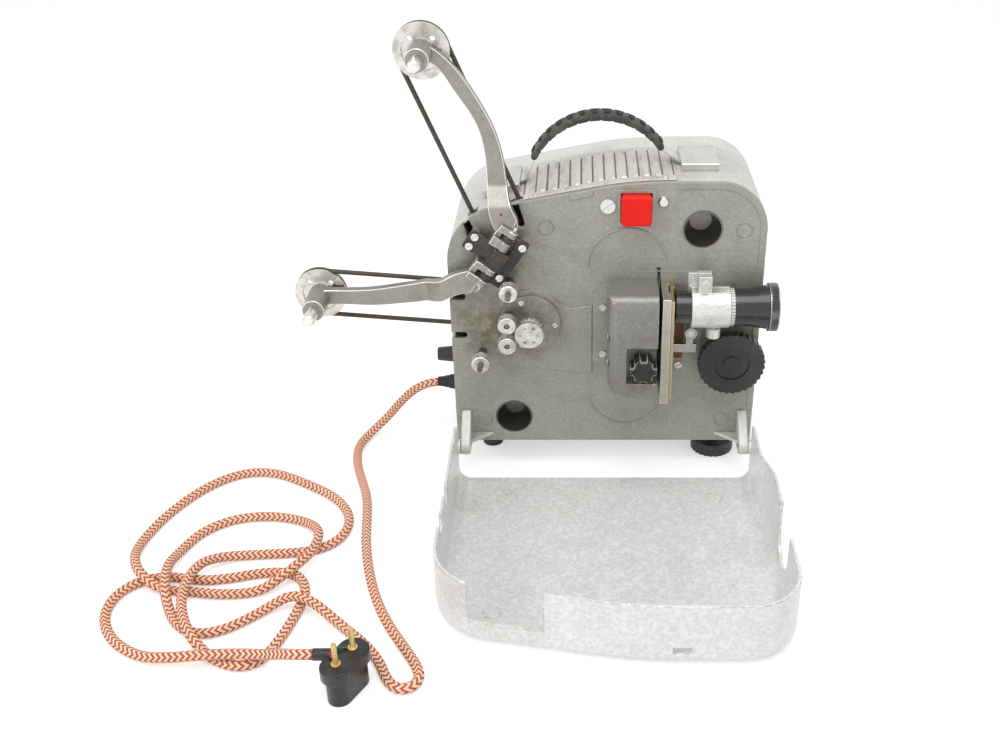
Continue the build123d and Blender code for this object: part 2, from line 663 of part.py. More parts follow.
with BuildPart() as lid_space:
    with BuildSketch(BODY.offset(LID_BOTTOM + LID_FLOOR)):
        add(lid_outline(LID_WALL))
    extrude(amount=LID_DEPTH + 10)
    floor_edges = lid_space.faces().sort_by(Axis.Z)[0].edges().sort_by(Axis.Y)[:-3]
    fillet(floor_edges, LID_SPACE_R)
with BuildPart() as lid:
    with BuildSketch(BODY.offset(LID_BOTTOM)):
        add(lid_outline(0))
    extrude(amount=LID_DEPTH + LID_FLOOR)
    bottom_edges = lid.faces().sort_by(Axis.Z)[0].edges().sort_by(Axis.Y)[:-1]
    fillet(bottom_edges, LID_EDGE_R)
    add(lid_space.part, mode=Mode.SUBTRACT)
    for side in (-1, 1):
        with BuildSketch(SIDE.offset(side * LID_LUG_INNER)):
            with Locations((HINGE_Y, HINGE_Z)):
                Circle(LID_LUG_R)
        extrude(amount=side * (CASE_HALF - LID_LUG_INNER))
    with BuildSketch(SIDE.offset(-FAR)):
        with Locations((HINGE_Y, HINGE_Z)):
            Circle(HINGE_PIN_R + RUNNING)
    extrude(amount=2 * FAR, mode=Mode.SUBTRACT)
    lens_s = HINGE_Y - (LENS_Z - HINGE_Z)
    lens_h = HINGE_Z + FILM_Y - HINGE_Y
    with BuildSketch(SIDE.offset(CASE_HALF - 10)):
        with Locations((lens_s, lens_h)):
            Circle(LENS_CUT_R)
        with Locations((lens_s, lens_h + LENS_CUT_R)):
            Rectangle(2 * LENS_CUT_R, 2 * LENS_CUT_R)
    extrude(amount=30, mode=Mode.SUBTRACT)
    with BuildSketch(SIDE.offset(-CASE_HALF - 1)):
        for near, far in LID_NOTCHES:
            with Locations((HINGE_Y - (near + far) / 2, HINGE_Z + LID_RIM_ABOVE_AXIS)):
                Rectangle(far - near, 2 * LID_NOTCH_DEPTH)
    extrude(amount=LID_WALL + 2, mode=Mode.SUBTRACT)
    with BuildSketch(BODY.offset(LID_BOTTOM + LID_FLOOR + LOW_WALL_H)):
        with Locations(((LOW_WALL[0] + LOW_WALL[1]) / 2, NEAR_END + 15)):
            Rectangle(LOW_WALL[1] - LOW_WALL[0], 50)
    extrude(amount=FAR, mode=Mode.SUBTRACT)
    with BuildSketch(BODY.offset(LID_BOTTOM + LID_FLOOR + 11)):
        with Locations(((LATCH_SLOT[0] + LATCH_SLOT[1]) / 2, NEAR_END)):
            Rectangle(LATCH_SLOT[1] - LATCH_SLOT[0], 20)
    extrude(amount=LATCH_SLOT_H, mode=Mode.SUBTRACT)
    with BuildSketch(BODY.offset(LID_BOTTOM - 1)):
        with Locations((LID_HOLE[0], HINGE_Y - LID_HOLE[1])):
            Circle(2.0)
    extrude(amount=LID_FLOOR + 2, mode=Mode.SUBTRACT)
    with BuildSketch(BODY.offset(LID_BOTTOM + LID_FLOOR - 0.4)):
        with Locations(*[(x, HINGE_Y - s) for x, s in LID_MARKS]):
            Circle(MARK_R + MARK_WIDTH)
            Circle(MARK_R, mode=Mode.SUBTRACT)
    extrude(amount=2, mode=Mode.SUBTRACT)
    with BuildSketch(SIDE.offset(CASE_HALF - 0.5)):
        with Locations((HINGE_Y - LID_STUD + 8, HINGE_Z + 6)):
            Circle(3.0)
    extrude(amount=3.0)
finish(lid, "lid")

# Three fixed rubber feet and one foot with a screw to raise the lens end
with BuildPart(BODY) as rubber_feet:
    with Locations(*[(x, y, -FOOT_H) for x, y in FEET]):
        Cone(FOOT_R - FOOT_TAPER, FOOT_R, FOOT_H, align=BASE)
finish(rubber_feet, "rubber_feet")

ELEVATOR_SCREW_END = 27.0
ELEVATOR_RIBS = 24
with BuildPart(BODY) as elevating_foot:
    with Locations((*ELEVATOR, -FOOT_H)):
        Cylinder(ELEVATOR_R, ELEVATOR_WHEEL_H, align=BASE)
    with Locations((*ELEVATOR, 0)):
        with PolarLocations(ELEVATOR_R + 1.0, ELEVATOR_RIBS):
            Cylinder(1.8, 3 * FOOT_H, mode=Mode.SUBTRACT)
    with Locations((*ELEVATOR, ELEVATOR_WHEEL_H - FOOT_H)):
        Cylinder(ELEVATOR_SCREW_R, FOOT_H - ELEVATOR_WHEEL_H + ELEVATOR_SCREW_END, align=BASE)
    chamfer(elevating_foot.edges().filter_by(GeomType.CIRCLE).group_by(Axis.Z)[-1], 1.0)
finish(elevating_foot, "elevating_foot")

# Bracket of the two arms: a base on four bosses and three ears for the hinge pins
LEG = (-22.0, 26.0, -17.0, -7.0)
TAIL = (TAIL_LOW, TAIL_HIGH, -7.5, 30.0)


def flat_box(left, right, low, high, back, front):
    """A box between two sides, two heights and two distances before the plane's origin."""
    with Locations(((left + right) / 2, (low + high) / 2, (back + front) / 2)):
        Box(right - left, high - low, front - back)


def rod_along(plane, start, end, radius):
    """A round rod along a folding plane's own axis."""
    with BuildPart(plane, mode=Mode.PRIVATE) as rod:
        with Locations((0, 0, (start + end) / 2)):
            Cylinder(radius, end - start)
    return rod.part


def fold_offset(fold):
    """How far a folding plane's origin lies from the bracket's centre along its axis."""
    centre = FRONT.from_local_coords(Vector(BRACKET_CENTRE[0], BRACKET_CENTRE[1], ARM_HINGE_H))
    return fold.to_local_coords(centre).Z


def pin_ear(low, high, fold):
    """An ear of the bracket, rounded about one arm's folding axis and standing on the base."""
    along = fold_offset(fold)
    middle = fold.from_local_coords(Vector(0, 0, (low + high) / 2 + along))
    side = BRACKET.to_local_coords(middle).Y
    with BuildPart(BRACKET, mode=Mode.PRIVATE) as stem:
        flat_box(low, high, side - EAR_R, side + EAR_R, BRACKET_BACK, ARM_HINGE_H)
    with BuildPart(mode=Mode.PRIVATE) as ear:
        add(stem.part)
        add(rod_along(fold, low + along, high + along, EAR_R))
    return ear.part


upper_ear = pin_ear(*UPPER_EAR, UPPER_FOLD)
lower_ear = pin_ear(*LOWER_EAR, LOWER_FOLD)
upper_bore = rod_along(UPPER_FOLD, 2.0, 60.0, ARM_PIN_R + RUNNING)
lower_bore = rod_along(LOWER_FOLD, -50.0, 1.0, ARM_PIN_R + RUNNING)
with BuildPart(BRACKET) as bracket_body:
    flat_box(*LEG, BRACKET_BACK, BRACKET_FRONT)
    flat_box(*TAIL, BRACKET_BACK, BRACKET_FRONT)
    flat_box(*UPPER_EAR, -EAR_REACH, EAR_REACH - 0.5, BRACKET_BACK, BRACKET_FRONT)
    flat_box(*LOWER_EAR, -EAR_REACH, EAR_REACH - 0.5, BRACKET_BACK, BRACKET_FRONT)
    flat_box(TAIL_LOW, TAIL_HIGH, -EAR_REACH + 0.5, EAR_REACH - 0.5, BRACKET_BACK, EAR_FRONT)
    fillet(bracket_body.edges().group_by(Axis.Y)[0].filter_by(lambda edge: edge.length > 10), 2.0)
with BuildPart() as arm_bracket:
    add(bracket_body.part)
    add(upper_ear)
    add(lower_ear)
    add(upper_bore, mode=Mode.SUBTRACT)
    add(lower_bore, mode=Mode.SUBTRACT)
finish(arm_bracket, "arm_bracket")

# Two short pins, one along each arm's folding line
UPPER_PIN_START = 12.5
UPPER_PIN_END = 35.0
LOWER_PIN_START = -27.0
LOWER_PIN_END = -4.0
with BuildPart() as hinge_pins:
    add(lid_hinge_pins.part)
    add(rod_along(UPPER_FOLD, UPPER_PIN_START, UPPER_PIN_END, ARM_PIN_R))
    add(rod_along(LOWER_FOLD, LOWER_PIN_START, LOWER_PIN_END, ARM_PIN_R))
finish(hinge_pins, "hinge_pins")

# Outlines of the two cast arms, from the hub down each edge to the bracket
UPPER_LEFT_EDGE = [
    (-150.0, 350.5),
    (-137.6, 348.1),
    (-122.5, 328.7),
    (-105.8, 301.6),
    (-98.6, 266.9),
    (-96.7, 231.0),
    (-92.3, 215.5),
]
UPPER_RIGHT_EDGE = [
    (-75.0, 212.5),
    (-73.5, 224.0),
    (-77.8, 233.6),
    (-83.4, 263.6),
    (-89.6, 291.8),
    (-106.3, 325.5),
    (-130.2, 355.8),
    (-142.0, 363.5),
]
LOWER_TOP_EDGE = [
    (-252.0, 153.0),
    (-235.4, 152.9),
    (-200.3, 153.8),
    (-174.5, 157.6),
    (-147.7, 164.2),
    (-131.5, 173.8),
    (-119.0, 178.3),
    (-112.2, 179.0),
]
LOWER_BOTTOM_EDGE = [
    (-104.2, 167.9),
    (-107.0, 161.5),
    (-120.8, 158.0),
    (-148.9, 145.3),
    (-175.8, 140.5),
    (-201.7, 138.6),
    (-229.1, 139.6),
    (-252.0, 137.0),
]
UPPER_JOG = (234.0, 250.0)
LOWER_JOG = (-139.0, -155.0)
JOG_R = 9.0
BRIDGE = (8.5, 14.0)
WEB_TOP = 21.0
UPPER_FORK = [(11.4, 19.7), (25.3, 31.0)]
LOWER_FORK = [(-12.9, -7.1), (-25.0, -19.3)]
NEAR_SLEEVE_END = 6.2
FAR_SLEEVE_END = 10.7


def arm_face(first_edge, second_edge):
    """Outline between two smooth edges of an arm, closed straight at both ends."""
    with BuildSketch(Plane.XY, mode=Mode.PRIVATE) as face:
        with BuildLine():
            first = Spline(*first_edge)
            second = Spline(*second_edge)
            Line(first @ 1, second @ 0)
            Line(second @ 1, first @ 0)
        make_face()
    return face.sketch_local


def jog_profile(start, jog, far_end, front):
    """Side profile that steps back from the knee's depth to the depth of the arm's long part."""
    near = [(-KNEE_FRONT, start), (-KNEE_FRONT, jog[0]), (-front, jog[1]), (-front, far_end)]
    rear = ARM_THICK - front
    back = [(-KNEE_BACK, start), (-KNEE_BACK, jog[0]), (rear, jog[1]), (rear, far_end)]
    with BuildSketch(Plane.XY, mode=Mode.PRIVATE) as profile:
        with BuildLine():
            one = FilletPolyline(*near, radius=JOG_R)
            two = FilletPolyline(*back, radius=JOG_R)
            Line(one @ 0, two @ 0)
            Line(one @ 1, two @ 1)
        make_face()
    return profile.sketch_local


def arm_fork(fork, fold):
    """Bridge, webs and knuckles that hold one arm on its pin."""
    spans = [value for knuckle in fork for value in knuckle]
    with BuildPart(BRACKET, mode=Mode.PRIVATE) as blocks:
        flat_box(min(spans), max(spans), *BRIDGE, KNEE_BACK, KNEE_FRONT)
        for low, high in fork:
            flat_box(low, high, 0, BRIDGE[1], ARM_HINGE_H - KNUCKLE_R, WEB_TOP)
    along = fold_offset(fold)
    with BuildPart() as joined:
        add(blocks.part)
        for low, high in fork:
            add(rod_along(fold, low + along, high + along, KNUCKLE_R))
    return joined.part


def arm_sleeve(hub, end):
    """Round sleeve of the hub, from before the arm to just before its pulley."""
    with BuildPart(FRONT, mode=Mode.PRIVATE) as sleeve:
        with Locations((*hub, -end)):
            Cylinder(SLEEVE_R, SLEEVE_FRONT + end, align=BASE)
    return sleeve.part


def arm_bore(hub):
    """Bore of the hub for the spindle's shaft."""
    with BuildPart(FRONT, mode=Mode.PRIVATE) as bore:
        with Locations((*hub, 0)):
            Cylinder(SHAFT_R + RUNNING, 4 * SLEEVE_FRONT)
    return bore.part


upper_fork = arm_fork(UPPER_FORK, UPPER_FOLD)
upper_sleeve = arm_sleeve(UPPER_HUB, NEAR_SLEEVE_END)
upper_hub_bore = arm_bore(UPPER_HUB)
with BuildPart() as upper_arm:
    with BuildSketch(FRONT.offset(-FAR / 4)):
        add(arm_face(UPPER_LEFT_EDGE, UPPER_RIGHT_EDGE))
    extrude(amount=FAR / 2)
    with BuildSketch(SIDE.offset(-FAR)):
        add(jog_profile(190.0, UPPER_JOG, 380.0, UPPER_ARM_FRONT))
    extrude(amount=2 * FAR, mode=Mode.INTERSECT)
    add(upper_fork)
    add(upper_sleeve)
    add(upper_bore, mode=Mode.SUBTRACT)
    add(upper_hub_bore, mode=Mode.SUBTRACT)
finish(upper_arm, "upper_arm")

# The lower arm's side profile lies in the plan, so its sketch is turned onto the level plane
PLAN = Plane(origin=ORIGIN, x_dir=(0, 1, 0), z_dir=(0, 0, -1))
lower_fork = arm_fork(LOWER_FORK, LOWER_FOLD)
lower_sleeve = arm_sleeve(LOWER_HUB, FAR_SLEEVE_END)
lower_hub_bore = arm_bore(LOWER_HUB)
with BuildPart() as lower_arm:
    with BuildSketch(FRONT.offset(-FAR / 4)):
        add(arm_face(LOWER_TOP_EDGE, LOWER_BOTTOM_EDGE))
    extrude(amount=FAR / 2)
    with BuildSketch(PLAN.offset(-FAR)):
        add(jog_profile(-80.0, LOWER_JOG, -275.0, LOWER_ARM_FRONT))
    extrude(amount=2 * FAR, mode=Mode.INTERSECT)
    add(lower_fork)
    add(lower_sleeve)
    add(lower_bore, mode=Mode.SUBTRACT)
    add(lower_hub_bore, mode=Mode.SUBTRACT)
finish(lower_arm, "lower_arm")

# Reel spindles, each a keyed nose on a shaft, with a pulley pressed on behind the arm
NOSE_START = SLEEVE_FRONT + 0.1
NUT_H = 1.4
NUT_R = 5.0
KEY_W = 2.0
KEY_OUT = 1.6


def make_spindle(hub, sleeve_end, name):
    """One spindle: shaft, nose with a rounded tip and two keys, and the nut behind the pulley."""
    with BuildPart(FRONT) as spindle:
        with Locations((*hub, NOSE_START)):
            Cylinder(SPINDLE_R, SPINDLE_TIP - NOSE_START, align=BASE)
        chamfer(spindle.edges().filter_by(GeomType.CIRCLE).sort_by(Axis.Y)[0], 1.5)
        with Locations((*hub, -(sleeve_end + GAP + PULLEY_W + NUT_H))):
            Cylinder(SHAFT_R, NOSE_START + sleeve_end + GAP + PULLEY_W + NUT_H, align=BASE)
            Cylinder(NUT_R, NUT_H - RUNNING, align=BASE)
        for side in (-1, 1):
            with Locations((hub[0], hub[1] + side * SPINDLE_R, (NOSE_START + SPINDLE_TIP) / 2)):
                Box(KEY_W, 2 * KEY_OUT, 9.0)
    finish(spindle, name)
    return spindle


def grooved_disc(centre, grooves, back, front, bore, rim_r=PULLEY_R):
    """A pulley with one round-bottomed groove at each belt plane."""
    middle = FRONT.from_local_coords(Vector(*centre, 0))
    with BuildPart(FRONT, mode=Mode.PRIVATE) as disc:
        with Locations((*centre, -back)):
            Cylinder(rim_r, back - front, align=BASE)
        for belt_y in grooves:
            with BuildSketch(Plane(origin=middle, x_dir=(1, 0, 0), z_dir=(0, 0, 1))):
                with Locations((BELT_R, belt_y)):
                    Circle(BELT_WIRE_R + RUNNING)
                with Locations((BELT_R + 4, belt_y)):
                    Rectangle(8, 2 * (BELT_WIRE_R + RUNNING))
            revolve(axis=Axis(middle, (0, 1, 0)), mode=Mode.SUBTRACT)
        if bore:
            with Locations((*centre, 0)):
                Cylinder(bore, 3 * FAR, mode=Mode.SUBTRACT)
    return disc.part


upper_spindle = make_spindle(UPPER_HUB, NEAR_SLEEVE_END, "upper_spindle")
lower_spindle = make_spindle(LOWER_HUB, FAR_SLEEVE_END, "lower_spindle")

DISH_R = 16.0
DISH_DEPTH = 2.0


def make_pulley(hub, belt_y, sleeve_end, name):
    """One hub pulley with a dished web and four round holes."""
    front = sleeve_end + GAP
    with BuildPart() as pulley:
        add(grooved_disc(hub, [belt_y], front + PULLEY_W, front, SHAFT_R + RUNNING))
        with BuildSketch(FRONT.offset(-front)):
            with Locations(hub):
                Circle(DISH_R)
                Circle(SLEEVE_R, mode=Mode.SUBTRACT)
        extrude(amount=-DISH_DEPTH, mode=Mode.SUBTRACT)
        with BuildSketch(FRONT.offset(-front)):
            with Locations(hub):
                with PolarLocations((DISH_R + SLEEVE_R) / 2, 4, 45):
                    Circle(2.4)
        extrude(amount=-2 * PULLEY_W, mode=Mode.SUBTRACT)
    finish(pulley, name)


make_pulley(UPPER_HUB, UPPER_BELT_Y, NEAR_SLEEVE_END, "upper_pulley")
make_pulley(LOWER_HUB, LOWER_BELT_Y, FAR_SLEEVE_END, "lower_pulley")


def make_belt(plane, start, start_r, end, end_r, wire_r, name):
    """A round belt swept along its loop."""
    with BuildPart() as belt:
        with BuildLine(plane) as path:
            span = hypot(end[0] - start[0], end[1] - start[1])
            course = degrees(atan2(end[1] - start[1], end[0] - start[0]))
            lean = degrees(atan2(start_r - end_r, sqrt(span**2 - (start_r - end_r) ** 2)))
            one = CenterArc(start, start_r, course + 90 - lean, 180 + 2 * lean)
            two = CenterArc(end, end_r, course - 90 + lean, 180 - 2 * lean)
            first = Line(one @ 1, two @ 0)
            Line(two @ 1, one @ 0)
        with BuildSketch(Plane(origin=first @ 0.5, z_dir=first % 0.5)):
            Circle(wire_r)
        sweep(path=path.wires()[0])
    finish(belt, name)


make_belt(FRONT.offset(-UPPER_BELT_Y), UPPER_HUB, BELT_R, DRIVE_PULLEY, BELT_R, BELT_WIRE_R, "upper_belt")
make_belt(FRONT.offset(-LOWER_BELT_Y), LOWER_HUB, BELT_R, DRIVE_PULLEY, BELT_R, BELT_WIRE_R, "lower_belt")

# Disc under the sprocket, standing on the film-path pad
DISC_BACK = PAD_H
DISC_FRONT = DISC_BACK + SPROCKET_DISC_H
DISC_SCREW_R = 21.5
DISC_SCREWS = [110.0, -2.0, 250.0]
with BuildPart(FRONT) as sprocket_disc:
    with Locations((*SPROCKET, DISC_BACK)):
        Cylinder(SPROCKET_DISC_R, SPROCKET_DISC_H, align=BASE)
        Cylinder(CROSS_R + RUNNING, 4 * SPROCKET_DISC_H, mode=Mode.SUBTRACT)
finish(sprocket_disc, "sprocket_disc")

# Sprocket: drum between two flanges, a ring of teeth, its shaft and the pinion behind the plate
TEETH = 18
DRUM_BACK = 16.5
DRUM_FRONT = 26.5
FLANGE_W = 1.6
DRUM_R = SPROCKET_R - 1.4
PINION_R = 7.1
PINION_FRONT = 4.4
PINION_W = 2.4
FLANGE_HOLES = 6
with BuildPart(FRONT) as sprocket:
    with Locations((*SPROCKET, DRUM_BACK)):
        Cylinder(DRUM_R, DRUM_FRONT - DRUM_BACK, align=BASE)
        Cylinder(SPROCKET_R, FLANGE_W, align=BASE)
    with Locations((*SPROCKET, DRUM_FRONT - FLANGE_W)):
        Cylinder(SPROCKET_R, FLANGE_W, align=BASE)
    with Locations((*SPROCKET, DRUM_BACK + 3.0)):
        with PolarLocations(DRUM_R, TEETH):
            Box(2.4, 1.2, 1.4)
    with Locations((*SPROCKET, DRUM_FRONT)):
        with PolarLocations(0.62 * SPROCKET_R, FLANGE_HOLES):
            Cylinder(1.5, 5.0, mode=Mode.SUBTRACT)
    with Locations((*SPROCKET, -PINION_FRONT - PINION_W)):
        Cylinder(CROSS_R, DRUM_BACK + PINION_FRONT + PINION_W, align=BASE)
        Cylinder(PINION_R, PINION_W, align=BASE)
    with Locations((*SPROCKET, DRUM_FRONT)):
        Cylinder(CROSS_R - 0.5, 1.4, align=BASE)
finish(sprocket, "sprocket")

# Four film rollers on their posts
ROLLER_PLACES = {
    "top_roller": (TOP_ROLLER, 0.0, LONG_POST_TIP),
    "middle_roller": (MIDDLE_ROLLER, DISC_FRONT, ROLLER_FRONT - 2.0),
    "low_roller": (LOW_ROLLER, DISC_FRONT, ROLLER_FRONT - 2.0),
    "left_roller": (LEFT_ROLLER, PAD_H, LONG_POST_TIP),
}
GROOVE_DEPTH = 2.2
ROLLER_FLANGE = 2.6
POST_COLLAR_R = 4.0
with BuildPart(FRONT) as roller_posts:
    for place, seat, tip in ROLLER_PLACES.values():
        with Locations((*place, seat)):
            Cylinder(POST_R, tip - seat, align=BASE)
            Cylinder(POST_COLLAR_R, ROLLER_BACK - GAP / 3 - seat, align=BASE)
finish(roller_posts, "roller_posts")

for name, (place, seat, tip) in ROLLER_PLACES.items():
    with BuildPart(FRONT) as roller:
        with Locations((*place, ROLLER_BACK)):
            Cylinder(ROLLER_R - GROOVE_DEPTH, ROLLER_FRONT - ROLLER_BACK, align=BASE)
            Cylinder(ROLLER_R, ROLLER_FLANGE, align=BASE)
        with Locations((*place, ROLLER_FRONT - ROLLER_FLANGE)):
            Cylinder(ROLLER_R, ROLLER_FLANGE, align=BASE)
        chamfer(roller.edges().filter_by(GeomType.CIRCLE).group_by(Axis.Y)[0], 0.8)
        with Locations((*place, 0)):
            Cylinder(POST_R + RUNNING, 4 * ROLLER_FRONT, mode=Mode.SUBTRACT)
    finish(roller, name)

# Base plate under the lamp house, the gate and the lens, with the shutter's slot
with BuildPart() as lamp_base:
    with BuildSketch(FRONT):
        with BuildLine():
            Polyline(*LAMP_BASE_POINTS, close=True)
        make_face()
        with Locations((SHUTTER_X, CROSS_Z)):
            Rectangle(SHUTTER_THICK + 2.0, SHUTTER_SLOT, mode=Mode.SUBTRACT)
    extrude(amount=BASE_THICK)
finish(lamp_base, "lamp_base")

# Lamp house: a hollow hood with a pocket in its face for the star knob
HOOD_R = 9.0
HOOD_LOW_R = 18.0
LIGHT_HOLE_R = 9.0
house_x = (LAMP_LEFT + LAMP_RIGHT) / 2
house_z = (LAMP_LOW + LAMP_TOP) / 2


def hood(grow, back, front):
    """Rounded block of the lamp house, or its inside when `grow` is negative."""
    with BuildPart(FRONT, mode=Mode.PRIVATE) as block:
        with Locations((house_x, house_z, back)):
            Box(LAMP_RIGHT - LAMP_LEFT + 2 * grow, LAMP_TOP - LAMP_LOW + 2 * grow, front - back, align=BASE)
        corner = block.edges().filter_by(Axis.Y).sort_by(Axis.X)[:2].sort_by(Axis.Z)[0]
        fillet(corner, HOOD_LOW_R + grow)
        front_edges = block.faces().sort_by(Axis.Y)[0].edges()
        gate_side = ORIGIN_X + LAMP_RIGHT + grow - 1
        fillet(front_edges.filter_by(lambda edge: edge.center().X < gate_side), HOOD_R + grow)
    return block.part


hood_outside = hood(0.0, BASE_THICK, LAMP_FRONT)
hood_inside = hood(-LAMP_WALL, BASE_THICK, LAMP_FRONT - LAMP_WALL)
with BuildPart(FRONT) as pocket_block:
    flat_box(POCKET_LEFT, LAMP_RIGHT + 5, POCKET_LOW, POCKET_TOP, POCKET_FRONT, LAMP_FRONT + 5)
with BuildPart(FRONT) as pocket_shell:
    flat_box(
        POCKET_LEFT - LAMP_WALL,
        LAMP_RIGHT,
        POCKET_LOW - LAMP_WALL,
        POCKET_TOP + LAMP_WALL,
        POCKET_FRONT - LAMP_WALL,
        LAMP_FRONT + 5,
    )
with BuildPart(SIDE) as light_hole:
    with Locations((FILM_Y, LENS_Z, LAMP_RIGHT)):
        Cylinder(LIGHT_HOLE_R, 4 * LAMP_WALL)
with BuildPart(FRONT) as star_shaft_hole:
    with Locations((*STAR_KNOB, POCKET_FRONT)):
        Cylinder(SHAFT_R + RUNNING, 8 * LAMP_WALL)
with BuildPart() as hood_space:
    add(hood_inside)
    add(pocket_shell.part, mode=Mode.SUBTRACT)
with BuildPart() as lamp_house:
    add(hood_outside)
    add(hood_space.part, mode=Mode.SUBTRACT)
    add(pocket_block.part, mode=Mode.SUBTRACT)
    add(light_hole.part, mode=Mode.SUBTRACT)
    add(star_shaft_hole.part, mode=Mode.SUBTRACT)
finish(lamp_house, "lamp_house")

# Star knob with six rounded arms
STAR_POINTS = 6
STAR_BACK = POCKET_FRONT + 2.0
with BuildPart(FRONT) as star_knob:
    with Locations((*STAR_KNOB, STAR_BACK)):
        Cylinder(STAR_KNOB_R, STAR_KNOB_FRONT - STAR_BACK, align=BASE)
    with Locations((*STAR_KNOB, STAR_BACK)):
        with PolarLocations(STAR_KNOB_R + 1.6, STAR_POINTS, 30):
            Cylinder(3.6, 3 * STAR_KNOB_FRONT, mode=Mode.SUBTRACT)
    chamfer(star_knob.edges().group_by(Axis.Y)[0], 1.0)
    with Locations((*STAR_KNOB, POCKET_FRONT - 6.0)):
        Cylinder(SHAFT_R, 9.0, align=BASE)
finish(star_knob, "star_knob")

# Gate: back plate with the picture opening, and the pressure plate beside it
GATE_LOW = 66.5
GATE_TOP = 165.5
APERTURE = (5.2, 4.2)
CHANNEL_DEPTH = 1.2
CHANNEL_W = 16.0
FILM_FRONT = -FILM_Y
with BuildPart(FRONT) as gate_plate:
    flat_box(GATE_LEFT, GATE_RIGHT, GATE_LOW, GATE_TOP, BASE_THICK, LAMP_FRONT)
with BuildPart(FRONT) as channel:
    flat_box(
        GATE_RIGHT - CHANNEL_DEPTH,
        GATE_RIGHT + 1,
        GATE_LOW - 1,
        GATE_TOP + 1,
        FILM_FRONT - CHANNEL_W / 2,
        FILM_FRONT + CHANNEL_W / 2,
    )
with BuildPart(FRONT) as picture_opening:
    flat_box(
        GATE_LEFT - 5,
        PRESSURE_RIGHT + 5,
        LENS_Z - APERTURE[0] / 2,
        LENS_Z + APERTURE[0] / 2,
        FILM_FRONT - APERTURE[1] / 2,
        FILM_FRONT + APERTURE[1] / 2,
    )
with BuildPart() as gate_plate_cut:
    add(gate_plate.part)
    add(channel.part, mode=Mode.SUBTRACT)
    add(picture_opening.part, mode=Mode.SUBTRACT)
finish(gate_plate_cut, "gate_plate")

PRESSURE_LOW = GATE_LOW + 3.5
PRESSURE_TOP = GATE_TOP - 2.5
PRESSURE_FRONT = LAMP_FRONT - 2.0
SPRING_FOOT_RIGHT = PRESSURE_RIGHT + 2.0
SPRING_FOOT_H = 5.5
SPRING_FOOT_FRONT = LAMP_FRONT - 30.0
with BuildPart(FRONT) as pressure_blank:
    flat_box(PRESSURE_LEFT, PRESSURE_RIGHT, PRESSURE_LOW, PRESSURE_TOP, BASE_THICK + 1.0, PRESSURE_FRONT)
    for low in (PRESSURE_LOW, PRESSURE_TOP - SPRING_FOOT_H):
        flat_box(PRESSURE_LEFT, SPRING_FOOT_RIGHT, low, low + SPRING_FOOT_H, BASE_THICK, SPRING_FOOT_FRONT)
with BuildPart() as pressure_plate:
    add(pressure_blank.part)
    add(picture_opening.part, mode=Mode.SUBTRACT)
finish(pressure_plate, "pressure_plate")

# Strip beside the gate, and the serrated lever on its pivot post
STRIP = (61.0, 68.0, 89.0, 125.0)
STRIP_FRONT = 4.0
LEVER_PIVOT = (74.0, 118.0)
LEVER_POST_R = 3.0
LEVER_BACK = 10.0
LEVER_FRONT = 14.0
LEVER_TEETH = 6
with BuildPart(FRONT) as gate_strip:
    flat_box(*STRIP, BASE_THICK, STRIP_FRONT)
finish(gate_strip, "gate_strip")

with BuildPart(FRONT) as lever_post:
    with Locations((*LEVER_PIVOT, BASE_THICK)):
        Cylinder(LEVER_POST_R + 1.5, LEVER_BACK - GAP / 3 - BASE_THICK, align=BASE)
        Cylinder(LEVER_POST_R, LEVER_FRONT - BASE_THICK, align=BASE)
with BuildPart(FRONT) as gate_lever:
    with BuildSketch(FRONT.offset(LEVER_BACK)):
        with Locations(LEVER_PIVOT):
            Circle(5.5)
        with Locations((LEVER_PIVOT[0] - 5.0, LEVER_PIVOT[1] - 14.0)):
            Rectangle(20.0, 8.0)
        with Locations((LEVER_PIVOT[0] - 1.0, LEVER_PIVOT[1] - 7.0)):
            Rectangle(6.0, 14.0)
        for tooth in range(LEVER_TEETH):
            with Locations((LEVER_PIVOT[0] - 13.5 + 3.2 * tooth, LEVER_PIVOT[1] - 18.0)):
                Circle(0.9, mode=Mode.SUBTRACT)
        with Locations(LEVER_PIVOT):
            Circle(LEVER_POST_R + RUNNING, mode=Mode.SUBTRACT)
    extrude(amount=LEVER_FRONT - LEVER_BACK)
finish(gate_lever, "gate_lever")

# Lens holder: a foot on the base, a split clamp ring, its lug and screw
HOLDER_FOOT_FRONT = 5.5
CLAMP_LUG_X = 82.5
CLAMP_LUG_W = 11.0
THUMB_X = 92.0
THUMB_R = 6.0
THUMB_LENGTH = 12.5
HOLDER_LEFT = 70.0
HOLDER_RIGHT = 84.0
HOLDER_HALF_H = 12.0
CLAMP_SPLIT = 1.6
with BuildPart(SIDE) as clamp:
    with Locations((FILM_Y, LENS_Z, CLAMP_BACK)):
        Cylinder(CLAMP_R, CLAMP_FRONT - CLAMP_BACK, align=BASE)
    with Locations((FILM_Y / 2, LENS_Z, (CLAMP_BACK + HOLDER_RIGHT) / 2)):
        Box(-FILM_Y - 2 * BASE_THICK, 2 * HOLDER_HALF_H, HOLDER_RIGHT - CLAMP_BACK)
    with Locations((FILM_Y, LENS_Z + CLAMP_R + 4.0, CLAMP_LUG_X)):
        Box(14.0, 18.0, CLAMP_LUG_W)
    with Locations((FILM_Y, LENS_Z + CLAMP_R, (CLAMP_BACK + CLAMP_FRONT) / 2)):
        Box(CLAMP_SPLIT, 36.0, 2 * (CLAMP_FRONT - CLAMP_BACK), mode=Mode.SUBTRACT)
    with Locations((FILM_Y, LENS_Z, 0)):
        Cylinder(BARREL_R + RUNNING, 3 * FAR, mode=Mode.SUBTRACT)
